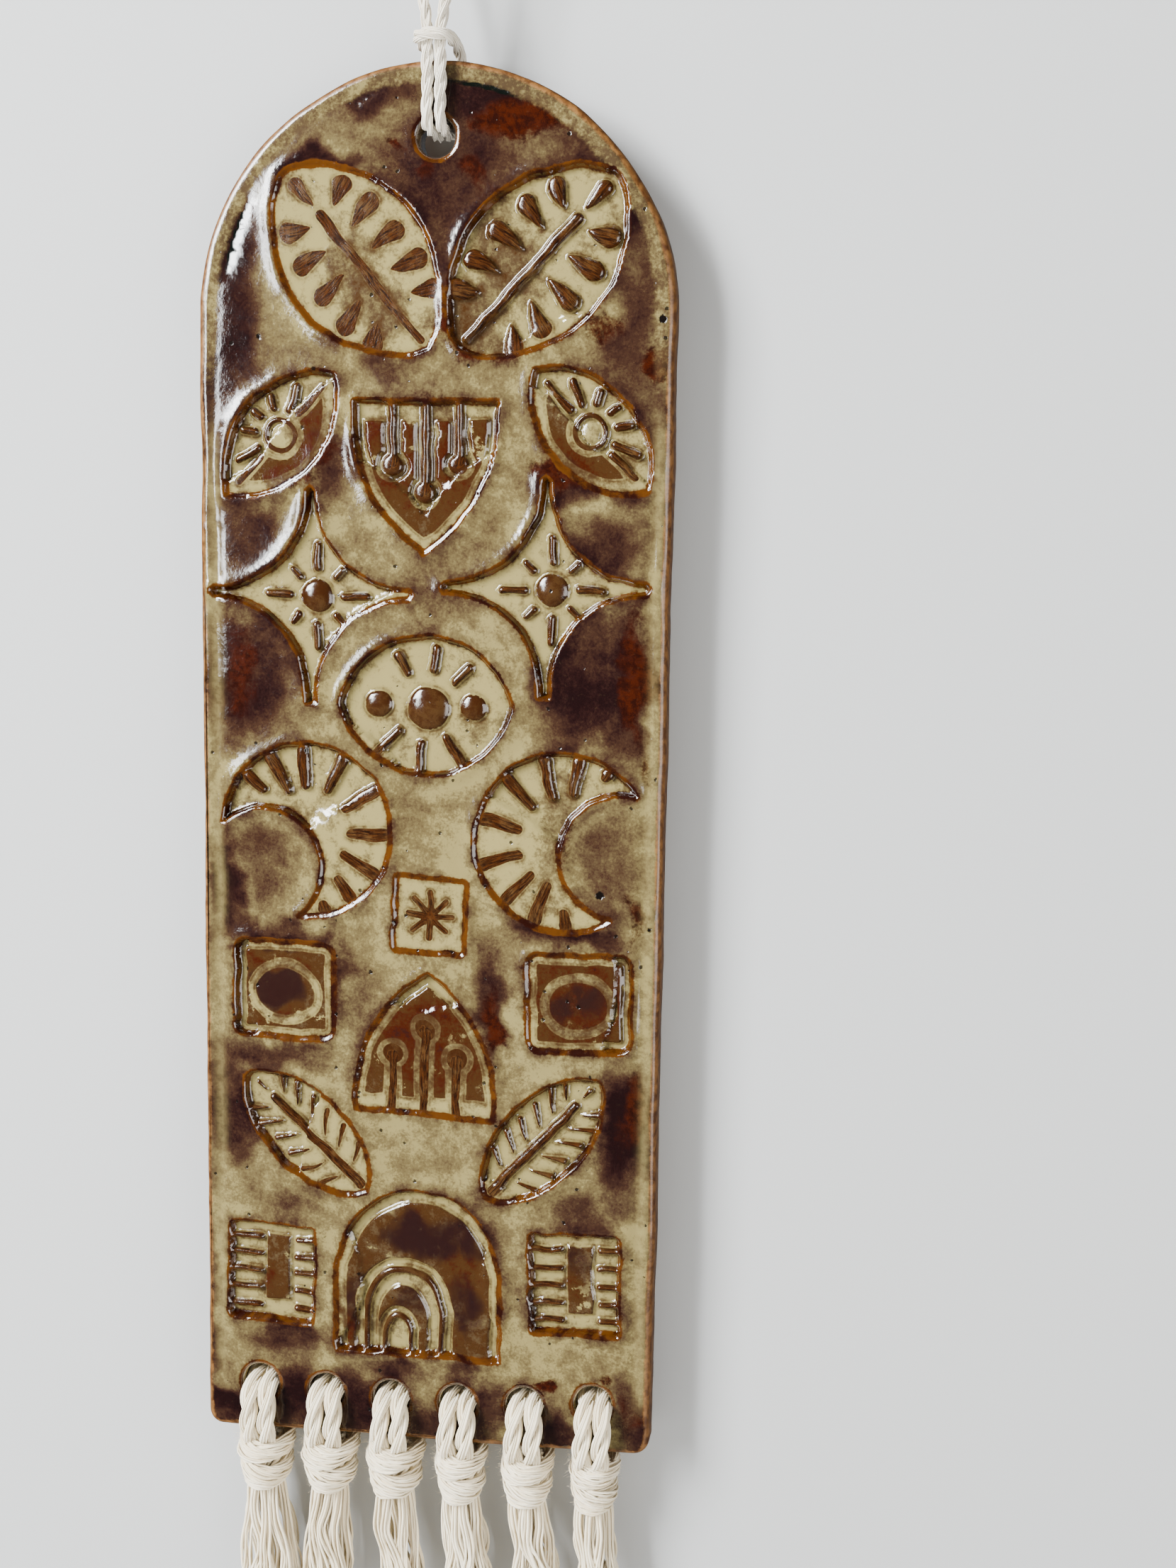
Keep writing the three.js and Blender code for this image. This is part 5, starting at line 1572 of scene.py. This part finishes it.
    rough = stepped(tree, cloud, 0.3, 0.8, 0.07, 0.15)
    rough = maths(tree, "MULTIPLY_ADD", mark["ridge"], 0.05, rough)
    tree.links.new(maths(tree, "MULTIPLY_ADD", outer, 0.3, rough), skin.inputs["Roughness"])
    skin.inputs["Coat Weight"].default_value = 0.25
    skin.inputs["Coat Roughness"].default_value = 0.06
    relief = added(tree, 0.0, (cloud, 0.0, 0.9), (small, 0.0, 0.45), (specks["Mask"], 0.0, -0.5),
                   (bigSpecks["Mask"], 0.0, -0.8))
    relief = maths(tree, "MULTIPLY_ADD", times(tree, streaks, mark["ridge"]), 0.2, relief)
    tree.links.new(bumped(tree, relief, 0.4, 0.0003), skin.inputs["Normal"])
    return material


def bareClay():
    material, tree, skin = newMaterial("bare clay")
    place = addNode(tree, "ShaderNodeTexCoord").outputs["Object"]
    specks = placeGroup(tree, claySpecks, {"Size": 0.0016, "Amount": 0.3})
    toast = stepped(tree, noise(tree, place, 0.03, 4.0), 0.4, 0.65)
    colour = mixed(tree, toast, clayColours["bare"], clayColours["toasted"])
    colour = mixed(tree, stepped(tree, specks["Fine"], 0.4, 0.8, 0.0, 0.4), colour, clayColours["toasted"])
    colour = mixed(tree, times(tree, specks["Mask"], 0.8), colour, clayColours["speck"])
    tree.links.new(colour, skin.inputs["Base Color"])
    weave = noise(tree, place, 0.0012, 5.0, 0.7)
    feed(tree, skin, {"Normal": bumped(tree, weave, 0.6, 0.0004), "Roughness": 0.85})
    return material


plaque = plaqueObject()
print("slab pressed:", len(plaque.data.polygons), "faces")


# Studio

studio = {
    "wallGap": 0.0008,  # behind the cotton that lies against the wall
    "wallSize": 3.0,
    "floorBelow": 0.09,
    "wall": srgb(176, 177, 177),
    "floor": srgb(228, 226, 222),
    "lightsAim": (0, 0, -0.17),
    "lights": {  # place, width, height, power and colour of each
        "window": ((-0.78, -0.72, 0.4), 0.42, 0.56, 60, (0.97, 0.99, 1.0)),
        "glint": ((-0.52, -0.72, 0.0), 0.13, 0.3, 5, (0.95, 0.98, 1.0)),
        "fill": ((0.95, -0.75, -0.3), 0.8, 0.8, 18, (1.0, 0.97, 0.93)),
    },
    "skyColour": (0.8, 0.84, 0.9, 1),
    "skyStrength": 0.12,
}


def stagePlane(name, corners, material):
    mesh = bpy.data.meshes.new(name)
    mesh.from_pydata(corners, [], [(0, 1, 2, 3)])
    mesh.materials.append(material)
    made = addObject(name, mesh)
    made.visible_glossy = False  # the glaze mirrors only the lights
    return made


def wallMaterial():
    # The wall shows from the front only, and neither blocks light nor hides the back from behind
    material, tree, skin = newMaterial("plain wall")
    skin.inputs["Base Color"].default_value = studio["wall"]
    skin.inputs["Roughness"].default_value = 0.9
    seen = addNode(tree, "ShaderNodeLightPath").outputs["Is Camera Ray"]
    behind = addNode(tree, "ShaderNodeNewGeometry").outputs["Backfacing"]
    shown = times(tree, seen, maths(tree, "SUBTRACT", 1.0, behind))
    clear = addNode(tree, "ShaderNodeBsdfTransparent")
    blend = addNode(tree, "ShaderNodeMixShader", {0: shown, 1: clear.outputs[0], 2: skin.outputs[0]})
    tree.links.new(blend.outputs[0], tree.nodes["Material Output"].inputs["Surface"])
    return material


def floorMaterial():
    material, tree, skin = newMaterial("plain floor")
    skin.inputs["Base Color"].default_value = studio["floor"]
    skin.inputs["Roughness"].default_value = 0.8
    return material


def makeStage():
    half = studio["wallSize"] / 2
    y = cadBox[1][1] + studio["wallGap"]
    floor = cadBox[0][2] - studio["floorBelow"]
    upright = [(-half, y, floor), (half, y, floor), (half, y, half), (-half, y, half)]
    level = [(-half, -half, floor), (half, -half, floor), (half, half, floor), (-half, half, floor)]
    stagePlane("wall", upright, wallMaterial())
    stagePlane("floor", level, floorMaterial())


def areaLight(name, place, width, height, power, colour):
    data = bpy.data.lights.new(name, "AREA")
    data.shape = "RECTANGLE"
    data.size, data.size_y = width, height
    data.energy = power
    data.color = colour
    made = addObject(name, data)
    aim = (Vector(studio["lightsAim"]) - Vector(place)).to_track_quat("-Z", "Y")
    made.matrix_world = Matrix.Translation(place) @ aim.to_matrix().to_4x4()


def makeLights():
    for name, light in studio["lights"].items():
        areaLight(name, *light)
    world = bpy.data.worlds.new("studio")
    world.use_nodes = True
    sky = world.node_tree.nodes["Background"].inputs
    sky["Color"].default_value = studio["skyColour"]
    sky["Strength"].default_value = studio["skyStrength"]
    bpy.context.scene.world = world


makeStage()
makeLights()
print("studio set")


# What each piece stands for and moves with

body = list(frame["bodies"])[0]
replaced = {"plaque": plaque, "hanging_cord": cord, "hanging_knot": knot}
replaced.update({f"tassel_{i + 1}": made for i, made in enumerate(tassels)})
for node, piece in replaced.items():
    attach(piece, body)
    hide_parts(node)
